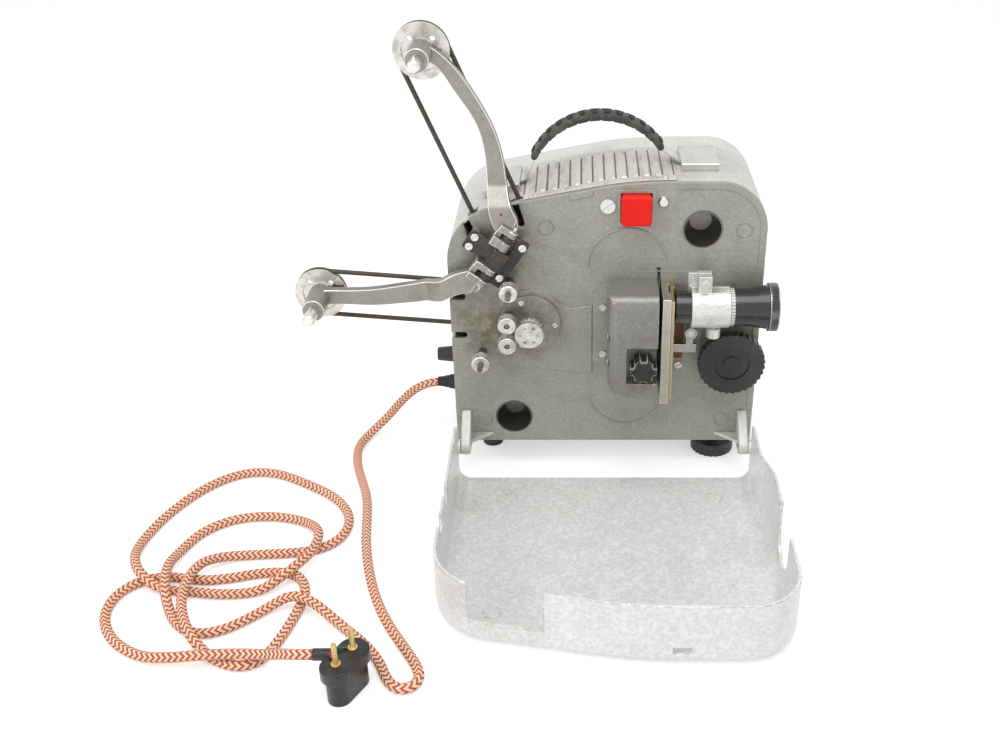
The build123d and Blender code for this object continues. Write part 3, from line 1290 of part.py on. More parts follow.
with BuildPart(FRONT) as holder_foot:
    flat_box(HOLDER_LEFT, HOLDER_RIGHT, LENS_Z - 22.0, LENS_Z + 24.0, BASE_THICK, HOLDER_FOOT_FRONT)
    with Locations((CLAMP_LUG_X, LENS_Z + CLAMP_R + 8.0, FILM_FRONT)):
        Cylinder(2.0, 18.0)
        Cylinder(3.2, 22.0)
with BuildPart(BODY) as thumb_screw:
    with Locations((THUMB_X, FILM_Y, LENS_Z - CLAMP_R - THUMB_LENGTH + 2.0)):
        Cylinder(THUMB_R, THUMB_LENGTH - 4.0, align=BASE)
        Cylinder(2.5, THUMB_LENGTH - 1.0, align=BASE)
with BuildPart() as lens_holder:
    add(clamp.part)
    add(holder_foot.part)
    add(thumb_screw.part)
    add(lever_post.part)
finish(lens_holder, "lens_holder")

# Lens: steel barrel, marked ring, black flared mount, knurled front ring and glass
BLACK_END = 119.5
FLARE_END = 136.5
BARREL_BORE = 11.5
FRONT_BORE = 15.0
FLARE_R = 19.0
BLACK_R = 16.2
with BuildPart() as lens_barrel:
    lens_axis = SIDE.from_local_coords(Vector(FILM_Y, LENS_Z, 0))
    with BuildSketch(Plane(origin=lens_axis, x_dir=(1, 0, 0), z_dir=(0, -1, 0))):
        with BuildLine():
            Polyline(
                (LENS_BACK, BARREL_BORE),
                (LENS_BACK, BARREL_R),
                (CLAMP_FRONT + GAP, BARREL_R),
                (CLAMP_FRONT + GAP, BLACK_R),
                (BLACK_END, BLACK_R),
                (FLARE_END, FLARE_R),
                (FLARE_END, FRONT_BORE),
                (FLARE_END - 3.0, FRONT_BORE),
                (BLACK_END, BARREL_BORE),
                close=True,
            )
        make_face()
    revolve(axis=Axis(lens_axis, (1, 0, 0)))
finish(lens_barrel, "lens_barrel")

with BuildPart(SIDE) as lens_front_ring:
    with Locations((FILM_Y, LENS_Z, FLARE_END)):
        Cylinder(LENS_RING_R, LENS_FRONT - FLARE_END, align=BASE)
        Cylinder(FRONT_BORE, 3 * (LENS_FRONT - FLARE_END), mode=Mode.SUBTRACT)
    chamfer(lens_front_ring.edges().filter_by(GeomType.CIRCLE).group_by(Axis.X)[-1], 0.8)
finish(lens_front_ring, "lens_front_ring")

GLASS_THICK = 4.0
with BuildPart(SIDE) as lens_glass:
    with Locations((FILM_Y, LENS_Z, FLARE_END - 2.0)):
        Cylinder(FRONT_BORE - RUNNING, GLASS_THICK, align=BASE)
    with Locations((FILM_Y, LENS_Z, LENS_BACK + 2.0)):
        Cylinder(BARREL_BORE - RUNNING, GLASS_THICK, align=BASE)
finish(lens_glass, "lens_glass")

# Hand knob that turns the drive by hand: scalloped disc, dished middle, collar, shaft and gear
KNOB_DISH_R = 15.5
KNOB_DISH_DEPTH = 2.0
KNOB_BUTTON_R = 7.0
KNOB_COLLAR_R = 10.0
KNOB_GEAR_R = 12.35
KNOB_GEAR_FRONT = 25.0
KNOB_GEAR_W = 10.0
with BuildPart(FRONT) as inching_knob:
    with Locations((*INCHING_KNOB, INCHING_KNOB_BACK)):
        Cylinder(INCHING_KNOB_R, INCHING_KNOB_FRONT - INCHING_KNOB_BACK, align=BASE)
    with Locations((*INCHING_KNOB, 0)):
        with PolarLocations(INCHING_KNOB_R + 1.2, SCALLOPS):
            Cylinder(2.3, 4 * INCHING_KNOB_FRONT, mode=Mode.SUBTRACT)
    with Locations((*INCHING_KNOB, INCHING_KNOB_FRONT - KNOB_DISH_DEPTH)):
        Cylinder(KNOB_DISH_R, 2 * KNOB_DISH_DEPTH, align=BASE, mode=Mode.SUBTRACT)
        Cylinder(KNOB_BUTTON_R, KNOB_DISH_DEPTH - 0.4, align=BASE)
    with Locations((*INCHING_KNOB, GAP)):
        Cylinder(KNOB_COLLAR_R, INCHING_KNOB_BACK, align=BASE)
    with Locations((*INCHING_KNOB, -KNOB_GEAR_FRONT - KNOB_GEAR_W - 3.0)):
        Cylinder(KNOB_SHAFT_R, KNOB_GEAR_FRONT + KNOB_GEAR_W + INCHING_KNOB_BACK, align=BASE)
    with Locations((*INCHING_KNOB, -KNOB_GEAR_FRONT - KNOB_GEAR_W)):
        Cylinder(KNOB_GEAR_R, KNOB_GEAR_W, align=BASE)
finish(inching_knob, "inching_knob")

# Switch: a dark frame on the plate and a red cap that is pressed in
FRAME_H = 2.0
CAP_GAP = 0.4
SWITCH_TRAVEL = 2.5
with BuildPart(FRONT) as switch_frame:
    flat_box(
        SWITCH[0] - SWITCH_W / 2 - 2,
        SWITCH[0] + SWITCH_W / 2 + 2,
        SWITCH[1] - SWITCH_W / 2 - 2,
        SWITCH[1] + SWITCH_W / 2 + 2,
        0,
        FRAME_H,
    )
    with Locations((*SWITCH, 0)):
        Box(SWITCH_W - 2, SWITCH_W - 2, 20, mode=Mode.SUBTRACT)
    with Locations((*SWITCH, -PLATE_THICK - 8.0)):
        Box(SWITCH_W + 4, SWITCH_W + 4, 16.0)
    with Locations((*SWITCH, -PLATE_THICK - 4.0)):
        Box(SWITCH_W - 2, SWITCH_W - 2, 8.0, mode=Mode.SUBTRACT)
finish(switch_frame, "switch_frame")

CAP_BACK = -7.0
with BuildPart(FRONT) as switch_cap:
    with Locations((*SWITCH, CAP_BACK + SWITCH_TRAVEL + 0.2)):
        Box(
            SWITCH_W - 2 - 2 * CAP_GAP,
            SWITCH_W - 2 - 2 * CAP_GAP,
            SWITCH_FRONT - CAP_BACK - SWITCH_TRAVEL - 0.2,
            align=BASE,
        )
    fillet(switch_cap.edges().filter_by(Axis.Y), 3.0)
    fillet(switch_cap.edges().group_by(Axis.Y)[0], 2.0)
finish(switch_cap, "switch_cap")

# Speed control: a tapered knob on the left wall, its shaft and the round resistor inside
SPEED_KNOB_INNER = -136.5
SPEED_KNOB_OUTER = -152.0
RHEOSTAT_R = 12.0
RHEOSTAT = (-131.5, -120.0)
with BuildPart(SIDE) as speed_knob:
    with Locations((SPEED_KNOB_Y, SPEED_KNOB_Z, SPEED_KNOB_OUTER)):
        Cone(SPEED_KNOB_R - 1.6, SPEED_KNOB_R, SPEED_KNOB_INNER - SPEED_KNOB_OUTER, align=BASE)
        with PolarLocations(SPEED_KNOB_R + 0.6, 12):
            Cylinder(1.2, 60.0, mode=Mode.SUBTRACT)
    with Locations((SPEED_KNOB_Y, SPEED_KNOB_Z, SPEED_KNOB_INNER - 1.0)):
        Cylinder(SHAFT_R, RHEOSTAT[1] - 2.0 - SPEED_KNOB_INNER + 1.0, align=BASE)
finish(speed_knob, "speed_knob")

with BuildPart(SIDE) as speed_rheostat:
    with Locations((SPEED_KNOB_Y, SPEED_KNOB_Z, -CASE_HALF + WALL)):
        Cylinder(RHEOSTAT_R, RHEOSTAT[1] + CASE_HALF - WALL, align=BASE)
        Cylinder(SHAFT_R + RUNNING, 60.0, mode=Mode.SUBTRACT)
finish(speed_rheostat, "speed_rheostat")

# Screw heads that show on the face: place, height of their seat and radius
STUD_PLACE = (47.1, 234.0)
BASE_SCREWS = [(-2.2, 138.5), (-2.2, 93.0), (64.9, 82.2)]
with BuildPart(FRONT) as face_screws:
    slotted_screw((1.0, 230.4), 0.0, 6.3)
    with Locations((*STUD_PLACE, 0)):
        Cone(5.0, 3.4, 2.6, align=BASE)
    for place in BASE_SCREWS:
        slotted_screw(place, BASE_THICK)
    for angle in DISC_SCREWS:
        turn = radians(angle)
        place = (SPROCKET[0] + DISC_SCREW_R * cos(turn), SPROCKET[1] + DISC_SCREW_R * sin(turn))
        slotted_screw(place, DISC_FRONT, 2.4)
    for u, v in BRACKET_SCREWS:
        spot = FRONT.to_local_coords(BRACKET.from_local_coords(Vector(u, v, 0)))
        slotted_screw((spot.X, spot.Y), BRACKET_FRONT)
finish(face_screws, "face_screws")

# Motor along the casing's floor, its shaft with fan and pulley
MOTOR_SHAFT = (-60.0, 78.0)
FAN = (-58.0, -43.0)
FAN_R = 25.0
FAN_BLADES = 9
SIDE_DISC_W = 8.0
with BuildPart(SIDE) as drive_motor:
    with Locations((MOTOR_Y, MOTOR_Z, MOTOR_LEFT)):
        Cylinder(MOTOR_R, MOTOR_RIGHT - MOTOR_LEFT, align=BASE)
    chamfer(drive_motor.edges().filter_by(GeomType.CIRCLE), 3.0)
    with Locations((MOTOR_Y, MOTOR_Z, 0)):
        Cylinder(SHAFT_R + RUNNING, FAR, mode=Mode.SUBTRACT)
finish(drive_motor, "drive_motor")


def side_disc(centre, radius, belt_x):
    """A wheel on a shaft along X with one belt groove."""
    middle = SIDE.from_local_coords(Vector(*centre, 0))
    with BuildPart(SIDE, mode=Mode.PRIVATE) as wheel:
        with Locations((*centre, belt_x)):
            Cylinder(radius + BELT_WIRE_R, SIDE_DISC_W)
        with BuildSketch(Plane(origin=middle, x_dir=(1, 0, 0), z_dir=(0, -1, 0))):
            with Locations((belt_x, radius)):
                Circle(BELT_WIRE_R + RUNNING)
            with Locations((belt_x, radius + 4)):
                Rectangle(2 * (BELT_WIRE_R + RUNNING), 8)
        revolve(axis=Axis(middle, (1, 0, 0)), mode=Mode.SUBTRACT)
    return wheel.part


motor_pulley = side_disc((MOTOR_Y, MOTOR_Z), MOTOR_PULLEY_R, DRIVE_BELT_X)
with BuildPart(SIDE) as fan_and_shaft:
    with Locations((MOTOR_Y, MOTOR_Z, MOTOR_SHAFT[0])):
        Cylinder(SHAFT_R, MOTOR_SHAFT[1] - MOTOR_SHAFT[0], align=BASE)
    with Locations((MOTOR_Y, MOTOR_Z, FAN[0])):
        Cylinder(8.0, FAN[1] - FAN[0], align=BASE)
        with PolarLocations((FAN_R + 7.0) / 2, FAN_BLADES):
            Box(FAN_R - 7.0, 1.4, FAN[1] - FAN[0], align=BASE)
with BuildPart() as motor_shaft:
    add(fan_and_shaft.part)
    add(motor_pulley)
finish(motor_shaft, "motor_shaft")

# Cross shaft: worm, pulley and bevel-sized gear; the shutter sits on it
CROSS_SHAFT = (-86.0, 118.0)
WORM = (-62.0, -42.0)
WORM_R = 5.5
CROSS_GEAR = (104.0, 116.0)
SHUTTER_HUB_R = 8.0
cross_pulley = side_disc((CROSS_Y, CROSS_Z), CROSS_PULLEY_R, DRIVE_BELT_X)
with BuildPart(SIDE) as cross_core:
    with Locations((CROSS_Y, CROSS_Z, CROSS_SHAFT[0])):
        Cylinder(CROSS_R, CROSS_SHAFT[1] - CROSS_SHAFT[0], align=BASE)
    with Locations((CROSS_Y, CROSS_Z, WORM[0])):
        Cylinder(WORM_R, WORM[1] - WORM[0], align=BASE)
    with Locations((CROSS_Y, CROSS_Z, CROSS_GEAR[0])):
        Cylinder(KNOB_GEAR_R, CROSS_GEAR[1] - CROSS_GEAR[0], align=BASE)
with BuildPart() as cross_shaft:
    add(cross_core.part)
    add(cross_pulley)
finish(cross_shaft, "cross_shaft")

SHUTTER_LEFT = SHUTTER_X - SHUTTER_THICK / 2
OPEN_SECTOR = 70.0
with BuildPart() as shutter:
    with BuildSketch(SIDE.offset(SHUTTER_LEFT)):
        with Locations((CROSS_Y, CROSS_Z)):
            Circle(SHUTTER_R)
        for start in (40.0, 220.0):
            with BuildLine():
                rim = CenterArc((CROSS_Y, CROSS_Z), SHUTTER_R + 1, start, OPEN_SECTOR)
                heel = CenterArc((CROSS_Y, CROSS_Z), SHUTTER_HUB_R + 8, start, OPEN_SECTOR)
                Line(rim @ 0, heel @ 0)
                Line(rim @ 1, heel @ 1)
            make_face(mode=Mode.SUBTRACT)
    extrude(amount=SHUTTER_THICK)
    with BuildSketch(SIDE.offset(SHUTTER_LEFT)):
        with Locations((CROSS_Y, CROSS_Z)):
            Circle(SHUTTER_HUB_R)
    extrude(amount=5.0)
    with BuildSketch(SIDE.offset(SHUTTER_LEFT - 1)):
        with Locations((CROSS_Y, CROSS_Z)):
            Circle(CROSS_R)
    extrude(amount=10.0, mode=Mode.SUBTRACT)
finish(shutter, "shutter")

make_belt(
    SIDE.offset(DRIVE_BELT_X),
    (MOTOR_Y, MOTOR_Z),
    MOTOR_PULLEY_R,
    (CROSS_Y, CROSS_Z),
    CROSS_PULLEY_R,
    BELT_WIRE_R,
    "drive_belt",
)

# Pulley that drives both reel belts, on a shaft with a worm wheel and a pinion
BELT_SHAFT_BACK = 40.0
BELT_PULLEY = (7.4, 17.1)
WORM_WHEEL_R = DRIVE_PULLEY[1] - CROSS_Z - WORM_R - GAP
WORM_WHEEL = (24.0, 36.0)
shaft_gap = hypot(DRIVE_PULLEY[0] - SPROCKET[0], DRIVE_PULLEY[1] - SPROCKET[1])
belt_disc = grooved_disc(DRIVE_PULLEY, [UPPER_BELT_Y, LOWER_BELT_Y], BELT_PULLEY[1], BELT_PULLEY[0], 0)
with BuildPart(FRONT) as belt_shaft:
    with Locations((*DRIVE_PULLEY, -BELT_SHAFT_BACK)):
        Cylinder(CROSS_R, BELT_SHAFT_BACK - 1.6, align=BASE)
    with Locations((*DRIVE_PULLEY, -WORM_WHEEL[1])):
        Cylinder(WORM_WHEEL_R, WORM_WHEEL[1] - WORM_WHEEL[0], align=BASE)
    with Locations((*DRIVE_PULLEY, -PINION_FRONT - PINION_W)):
        Cylinder(shaft_gap - PINION_R - GAP, PINION_W, align=BASE)
with BuildPart() as belt_drive_pulley:
    add(belt_disc)
    add(belt_shaft.part)
finish(belt_drive_pulley, "belt_drive_pulley")

# Bearings inside: a bar on two spacers, a block at the right, and two saddles under the motor
BAR = (-84.0, 30.0, CROSS_Z - 5.0, CROSS_Z + 20.0)
BAR_BACK = -42.0
BAR_FRONT = -37.0
SPACERS = [-20.0, 22.0]
LEFT_BEARING = (-82.0, -76.0)
RIGHT_BEARING = (86.0, 94.0)
BEARING_HALF = 8.0
BEARING_SPAN = (CROSS_Z - BEARING_HALF, CROSS_Z + BEARING_HALF)
SADDLES = [(-30.0, -22.0), (20.0, 28.0)]
with BuildPart(FRONT) as bearing_blank:
    flat_box(*BAR, BAR_BACK, BAR_FRONT)
    for x in SPACERS:
        flat_box(x - 4, x + 4, CROSS_Z + 8, CROSS_Z + 16, BAR_FRONT, -PLATE_THICK)
    flat_box(*LEFT_BEARING, *BEARING_SPAN, BAR_BACK, -CROSS_Y + BEARING_HALF)
    flat_box(*RIGHT_BEARING, *BEARING_SPAN, BAR_BACK, -PLATE_THICK)
    with Locations((*DRIVE_PULLEY, BAR_BACK)):
        Cylinder(CROSS_R + RUNNING, 30.0, mode=Mode.SUBTRACT)
    for left, right in SADDLES:
        flat_box(left, right, WALL, MOTOR_Z - 6.0, -MOTOR_Y - 22.0, -MOTOR_Y + 22.0)
with BuildPart(SIDE) as bearing_cuts:
    with Locations((CROSS_Y, CROSS_Z, 0)):
        Cylinder(CROSS_R + RUNNING, FAR)
    with Locations((MOTOR_Y, MOTOR_Z, 0)):
        Cylinder(MOTOR_R, MOTOR_RIGHT - MOTOR_LEFT)
with BuildPart() as bearing_frame:
    add(bearing_blank.part)
    add(bearing_cuts.part, mode=Mode.SUBTRACT)
finish(bearing_frame, "bearing_frame")

# Lamp, socket with the holders of the condenser and the mirror, condenser and mirror
LAMP_X = 17.0
BULB_R = 9.0
BULB_LOW = 112.0
BULB_TOP = 160.0
SOCKET_LOW = 76.0
CONDENSER = (34.0, 38.0)
CONDENSER_R = 12.0
MIRROR = (5.0, 6.6)
HOLDER_RIM = 2.0
with BuildPart(BODY) as projection_lamp:
    with Locations((LAMP_X, FILM_Y, BULB_LOW)):
        Cylinder(BULB_R, BULB_TOP - BULB_LOW, align=BASE)
    fillet(projection_lamp.edges().group_by(Axis.Z)[-1], BULB_R - 1.0)
finish(projection_lamp, "projection_lamp")

with BuildPart(BODY) as socket_body:
    with Locations((LAMP_X, FILM_Y, SOCKET_LOW)):
        Cylinder(BULB_R, BULB_LOW - SOCKET_LOW, align=BASE)
    with Locations((LAMP_X, (FILM_Y - BASE_THICK) / 2, SOCKET_LOW)):
        Box(12.0, -FILM_Y - BASE_THICK, 8.0, align=BASE)
with BuildPart(SIDE) as optics_rings:
    for left, right in (CONDENSER, MIRROR):
        with Locations((FILM_Y, LENS_Z, left)):
            Cylinder(CONDENSER_R + HOLDER_RIM, right - left, align=BASE)
        with Locations(((FILM_Y + CONDENSER_R - 1 - BASE_THICK) / 2, LENS_Z, left)):
            Box(-FILM_Y - CONDENSER_R + 1 - BASE_THICK, 8.0, right - left, align=BASE)
    with Locations((FILM_Y, LENS_Z, 0)):
        Cylinder(CONDENSER_R + RUNNING, 4 * LAMP_RIGHT, mode=Mode.SUBTRACT)
with BuildPart() as lamp_socket:
    add(socket_body.part)
    add(optics_rings.part)
finish(lamp_socket, "lamp_socket")

with BuildPart(SIDE) as condenser:
    with Locations((FILM_Y, LENS_Z, CONDENSER[0])):
        Cylinder(CONDENSER_R, CONDENSER[1] - CONDENSER[0], align=BASE)
finish(condenser, "condenser")

with BuildPart(SIDE) as lamp_mirror:
    with Locations((FILM_Y, LENS_Z, MIRROR[0])):
        Cylinder(CONDENSER_R, MIRROR[1] - MIRROR[0], align=BASE)
finish(lamp_mirror, "lamp_mirror")

# Rubber gland of the cord in the left wall
GLAND_FLANGE_R = 9.0
with BuildPart(SIDE) as cord_gland:
    with Locations((GLAND_Y, GLAND_Z, -CASE_HALF - GLAND_LENGTH)):
        Cone(CORD_R + 2.0, GLAND_FLANGE_R, GLAND_LENGTH, align=BASE)
    with Locations((GLAND_Y, GLAND_Z, -CASE_HALF)):
        Cylinder(CORD_R + 1.5 - RUNNING, WALL + 2.0, align=BASE)
finish(cord_gland, "cord_gland")

# Cord: from the gland down to the table, a fold, two loose loops and the plug
ON_TABLE = CORD_R - FOOT_H
OVER = ON_TABLE + 2 * CORD_R + 0.6
PLUG = (-189.0, -288.0)
PLUG_H = 32.0
SLEEVE_LENGTH = 10.0
CORD_END = (-212.0, -285.0, 3.0)
CORD_POINTS = [
    (-CASE_HALF - GLAND_LENGTH, GLAND_Y, GLAND_Z),
    (-160, GLAND_Y, GLAND_Z),
    (-178, 44, 30),
    (-194, 51, 11),
    (-209, 57, -10),
    (-225, 50, -23),
    (-234, 28, ON_TABLE),
    (-231, 0, ON_TABLE),
    (-222, -28, ON_TABLE),
    (-212, -56, ON_TABLE),
    (-207, -90, ON_TABLE),
    (-203, -122, ON_TABLE),
    (-195, -158, ON_TABLE),
    (-184, -193, ON_TABLE),
    (-169, -225, ON_TABLE),
    (-153, -250, ON_TABLE),
    (-142, -268, ON_TABLE),
    (-138, -281, ON_TABLE),
    (-144, -291, ON_TABLE),
    (-155, -291, ON_TABLE),
    (-163, -281, ON_TABLE),
    (-170, -264, ON_TABLE),
    (-184, -245, ON_TABLE),
    (-206, -224, ON_TABLE),
    (-230, -206, OVER),
    (-249, -198, OVER),
    (-268, -206, ON_TABLE),
    (-282, -220, ON_TABLE),
    (-297, -231, ON_TABLE),
    (-314, -235, ON_TABLE),
    (-330, -226, ON_TABLE),
    (-342, -210, ON_TABLE),
    (-351, -190, OVER),
    (-357, -163, OVER),
    (-357, -136, ON_TABLE),
    (-346, -107, ON_TABLE),
    (-322, -88, ON_TABLE),
    (-290, -84, ON_TABLE),
    (-259, -92, ON_TABLE),
    (-240, -118, OVER),
    (-243, -148, OVER),
    (-258, -172, OVER),
    (-276, -185, ON_TABLE),
    (-302, -189, ON_TABLE),
    (-326, -186, ON_TABLE),
    (-357, -183, ON_TABLE),
    (-373, -176, OVER),
    (-386, -157, OVER),
    (-394, -126, ON_TABLE),
    (-384, -84, ON_TABLE),
    (-362, -42, ON_TABLE),
    (-334, -18, ON_TABLE),
    (-303, -17, ON_TABLE),
    (-271, -35, ON_TABLE),
    (-239, -57, ON_TABLE),
    (-221, -86, ON_TABLE),
    (-223, -115, ON_TABLE),
    (-241, -133, ON_TABLE),
    (-272, -137, ON_TABLE),
    (-303, -139, ON_TABLE),
    (-323, -147, -20),
    (-333, -163, OVER),
    (-336, -188, OVER),
    (-331, -214, OVER),
    (-317, -242, OVER),
    (-300, -257, ON_TABLE),
    (-283, -267, ON_TABLE),
    (-267, -269, ON_TABLE),
    (-255, -258, ON_TABLE),
    (-248, -236, ON_TABLE),
    (-242, -208, ON_TABLE),
    (-240, -185, ON_TABLE),
    (-248, -167, ON_TABLE),
    (-265, -160, ON_TABLE),
    (-287, -163, ON_TABLE),
    (-306, -169, ON_TABLE),
    (-329, -172, ON_TABLE),
    (-354, -166, ON_TABLE),
    (-377, -171, ON_TABLE),
    (-392, -190, ON_TABLE),
    (-392, -216, ON_TABLE),
    (-376, -242, ON_TABLE),
    (-350, -259, ON_TABLE),
    (-324, -265, -19),
    (-301, -266, OVER),
    (-275, -265, OVER + 0.5),
    (-253, -268, -13),
    (-237, -277, -4),
    (-224, CORD_END[1], CORD_END[2]),
    CORD_END,
]


def cord_radii(points):
    """Radius at each inner point, as large as its two runs allow."""
    radii = []
    for before, here, after in zip(points, points[1:], points[2:]):
        arrive = Vector(*here) - Vector(*before)
        leave = Vector(*after) - Vector(*here)
        turn = radians(arrive.get_angle(leave))
        shorter = min(arrive.length, leave.length)
        radii.append(0.45 * shorter * cos(turn / 2) / sin(turn / 2))
    return radii


radii = cord_radii(CORD_POINTS)
print("least cord radius", round(min(radii), 1), "of", len(radii), "corners")
with BuildPart() as power_cord:
    with BuildLine(BODY) as cord_path:
        FilletPolyline(*CORD_POINTS, radius=radii)
    cord_start = BODY.from_local_coords(Vector(*CORD_POINTS[0]))
    with BuildSketch(Plane(origin=cord_start, z_dir=(-1, 0, 0))):
        Circle(CORD_R)
    sweep(path=cord_path.wires()[0])
cord_bulk = pi * CORD_R**2 * cord_path.wires()[0].length
print("cord volume", round(power_cord.part.volume), "section times length", round(cord_bulk))
finish(power_cord, "power_cord")

# Plug standing on its end, with the cord's sleeve at its top and two pins upright
PLUG_FLANGE_H = 10.0
PIN_GAP = 19.0
PIN_R = 2.0
PIN_LENGTH = 19.0
PLUG_TURN = 62.0
PLUG_END_R = 12.0
PLUG_BODY_R = 9.0
PIN_COLLAR_R = 3.6
PIN_COLLAR_H = 1.6
turned = (cos(radians(PLUG_TURN)), sin(radians(PLUG_TURN)), 0)
PLUG_PLANE = Plane(origin=BODY.from_local_coords(Vector(*PLUG, -FOOT_H)), x_dir=turned, z_dir=(0, 0, 1))
with BuildPart() as plug_blank:
    with BuildSketch(PLUG_PLANE):
        SlotCenterToCenter(PIN_GAP, 2 * PLUG_BODY_R)
    extrude(amount=PLUG_H)
    with BuildSketch(PLUG_PLANE.offset(PLUG_H - PLUG_FLANGE_H)):
        SlotCenterToCenter(PIN_GAP, 2 * PLUG_END_R)
    extrude(amount=PLUG_FLANGE_H)
    fillet(plug_blank.edges().group_by(Axis.Z)[-1], 1.5)
with BuildPart() as plug_body:
    add(plug_blank.part)
    with BuildSketch(SIDE.offset(CORD_END[0])):
        with Locations((CORD_END[1], CORD_END[2])):
            Circle(CORD_R + 0.5)
    extrude(amount=SLEEVE_LENGTH + 6.0)
finish(plug_body, "plug_body")

with BuildPart() as plug_pins:
    with BuildSketch(PLUG_PLANE.offset(PLUG_H)):
        with Locations((-PIN_GAP / 2, 0), (PIN_GAP / 2, 0)):
            Circle(PIN_R)
    extrude(amount=PIN_LENGTH)
    with BuildSketch(PLUG_PLANE.offset(PLUG_H)):
        with Locations((-PIN_GAP / 2, 0), (PIN_GAP / 2, 0)):
            Circle(PIN_COLLAR_R)
    extrude(amount=PIN_COLLAR_H)
finish(plug_pins, "plug_pins")
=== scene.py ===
"""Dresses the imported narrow-film projector for its portrait on a white table."""

import json
import math

import bmesh
import bpy
from mathutils import Matrix, Vector
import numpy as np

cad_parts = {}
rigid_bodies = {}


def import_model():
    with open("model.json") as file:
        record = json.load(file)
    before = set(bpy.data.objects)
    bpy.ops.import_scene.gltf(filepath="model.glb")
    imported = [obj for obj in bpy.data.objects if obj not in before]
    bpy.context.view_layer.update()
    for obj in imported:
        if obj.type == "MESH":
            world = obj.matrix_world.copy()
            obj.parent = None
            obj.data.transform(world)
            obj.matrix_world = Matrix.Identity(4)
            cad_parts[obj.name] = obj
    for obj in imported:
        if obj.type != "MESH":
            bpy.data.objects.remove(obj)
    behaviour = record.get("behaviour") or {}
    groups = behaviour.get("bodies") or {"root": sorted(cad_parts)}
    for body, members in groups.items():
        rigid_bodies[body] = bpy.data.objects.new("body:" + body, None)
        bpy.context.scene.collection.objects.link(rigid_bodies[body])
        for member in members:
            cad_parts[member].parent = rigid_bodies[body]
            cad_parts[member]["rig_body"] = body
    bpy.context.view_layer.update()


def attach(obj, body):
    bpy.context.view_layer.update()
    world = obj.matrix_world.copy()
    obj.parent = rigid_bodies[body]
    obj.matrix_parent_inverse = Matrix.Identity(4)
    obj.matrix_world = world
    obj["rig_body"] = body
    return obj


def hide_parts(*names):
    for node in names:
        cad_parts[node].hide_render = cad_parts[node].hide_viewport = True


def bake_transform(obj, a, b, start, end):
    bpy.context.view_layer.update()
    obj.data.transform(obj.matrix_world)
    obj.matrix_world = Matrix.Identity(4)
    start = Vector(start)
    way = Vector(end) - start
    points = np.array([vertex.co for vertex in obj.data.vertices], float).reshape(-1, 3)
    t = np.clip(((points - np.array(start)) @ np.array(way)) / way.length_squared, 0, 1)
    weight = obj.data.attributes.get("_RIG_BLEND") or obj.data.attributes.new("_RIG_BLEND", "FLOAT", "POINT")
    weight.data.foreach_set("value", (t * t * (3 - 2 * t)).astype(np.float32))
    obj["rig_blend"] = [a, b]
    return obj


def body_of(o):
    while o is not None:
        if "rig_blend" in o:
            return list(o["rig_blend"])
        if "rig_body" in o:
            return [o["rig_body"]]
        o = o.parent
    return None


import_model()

# Camera: stands before the open machine and looks down on it by thirty degrees, level and square
# to the front plate. The frame is shifted to the left so that the cord's loops have their room.
CAMERA_DOWN = math.radians(29.64)
camera = bpy.data.objects.new("portrait_camera", bpy.data.cameras.new("portrait_camera"))
camera.location = (0.04025, -0.83985, 0.6112)
camera.rotation_euler = (math.pi / 2 - CAMERA_DOWN, 0, 0)
camera.data.lens = 41.726
camera.data.sensor_width = 36.0
camera.data.shift_x = -0.0795
bpy.context.scene.collection.objects.link(camera)
bpy.context.scene.camera = camera


# Studio: a broad soft lamp overhead, a weaker one at the left and white air all round. The table is
# a matt white sheet which stays white to the eye and still takes the machine's soft shadow.
def put(tree, kind, inputs=None, **settings):
    """Adds one shader node with its settings, and fills its sockets with values or other outputs."""
    node = tree.nodes.new(kind)
    for label, value in settings.items():
        setattr(node, label, value)
    return fill(tree, node, inputs or {})


def fill(tree, node, inputs):
    """Feeds a node's named or numbered sockets."""
    for label, value in inputs.items():
        if isinstance(value, bpy.types.NodeSocket):
            tree.links.new(value, node.inputs[label])
        else:
            node.inputs[label].default_value = value
    return node


AIR_LIGHT = 0.62
AIR_SEEN = 1.0
TABLE_HALF = 4.0
TABLE_TONE = 0.86
TABLE_GLOW = 0.42
TABLE_GAP = 0.0002


def soft_lamp(name, spot, aim, size, power):
    """A square area lamp that stands at one spot and points at another."""
    lamp = bpy.data.lights.new(name, "AREA")
    lamp.size = size
    lamp.energy = power
    holder = bpy.data.objects.new(name, lamp)
    holder.location = spot
    holder.rotation_euler = (Vector(aim) - Vector(spot)).to_track_quat("-Z", "Y").to_euler()
    bpy.context.scene.collection.objects.link(holder)


soft_lamp("overhead_lamp", (0.1, -0.5, 1.7), aim=(0.05, 0, 0.1), size=1.1, power=12)
soft_lamp("left_lamp", (-1.5, -1.3, 1.2), aim=(0.05, 0, 0.2), size=0.9, power=9)
bpy.context.scene.view_settings.view_transform = "Standard"
air = bpy.data.worlds.new("white_air")
air.use_nodes = True
bpy.context.scene.world = air
sky = air.node_tree


def seen_rays(tree):
    """Is 1 for the rays that show a surface to the eye: direct, mirrored or through glass."""
    path = put(tree, "ShaderNodeLightPath")
    total = path.outputs["Is Camera Ray"]
    for label in ("Is Glossy Ray", "Is Transmission Ray"):
        total = put(tree, "ShaderNodeMath", {0: total, 1: path.outputs[label]}, operation="ADD",
                    use_clamp=True).outputs[0]
    return total


lit = put(sky, "ShaderNodeBackground", {"Color": (1, 1, 1, 1), "Strength": AIR_LIGHT})
white = put(sky, "ShaderNodeBackground", {"Color": (1, 1, 1, 1), "Strength": AIR_SEEN})
mixed = put(sky, "ShaderNodeMixShader", {0: seen_rays(sky), 1: lit.outputs[0], 2: white.outputs[0]})
fill(sky, sky.nodes["World Output"], {"Surface": mixed.outputs[0]})

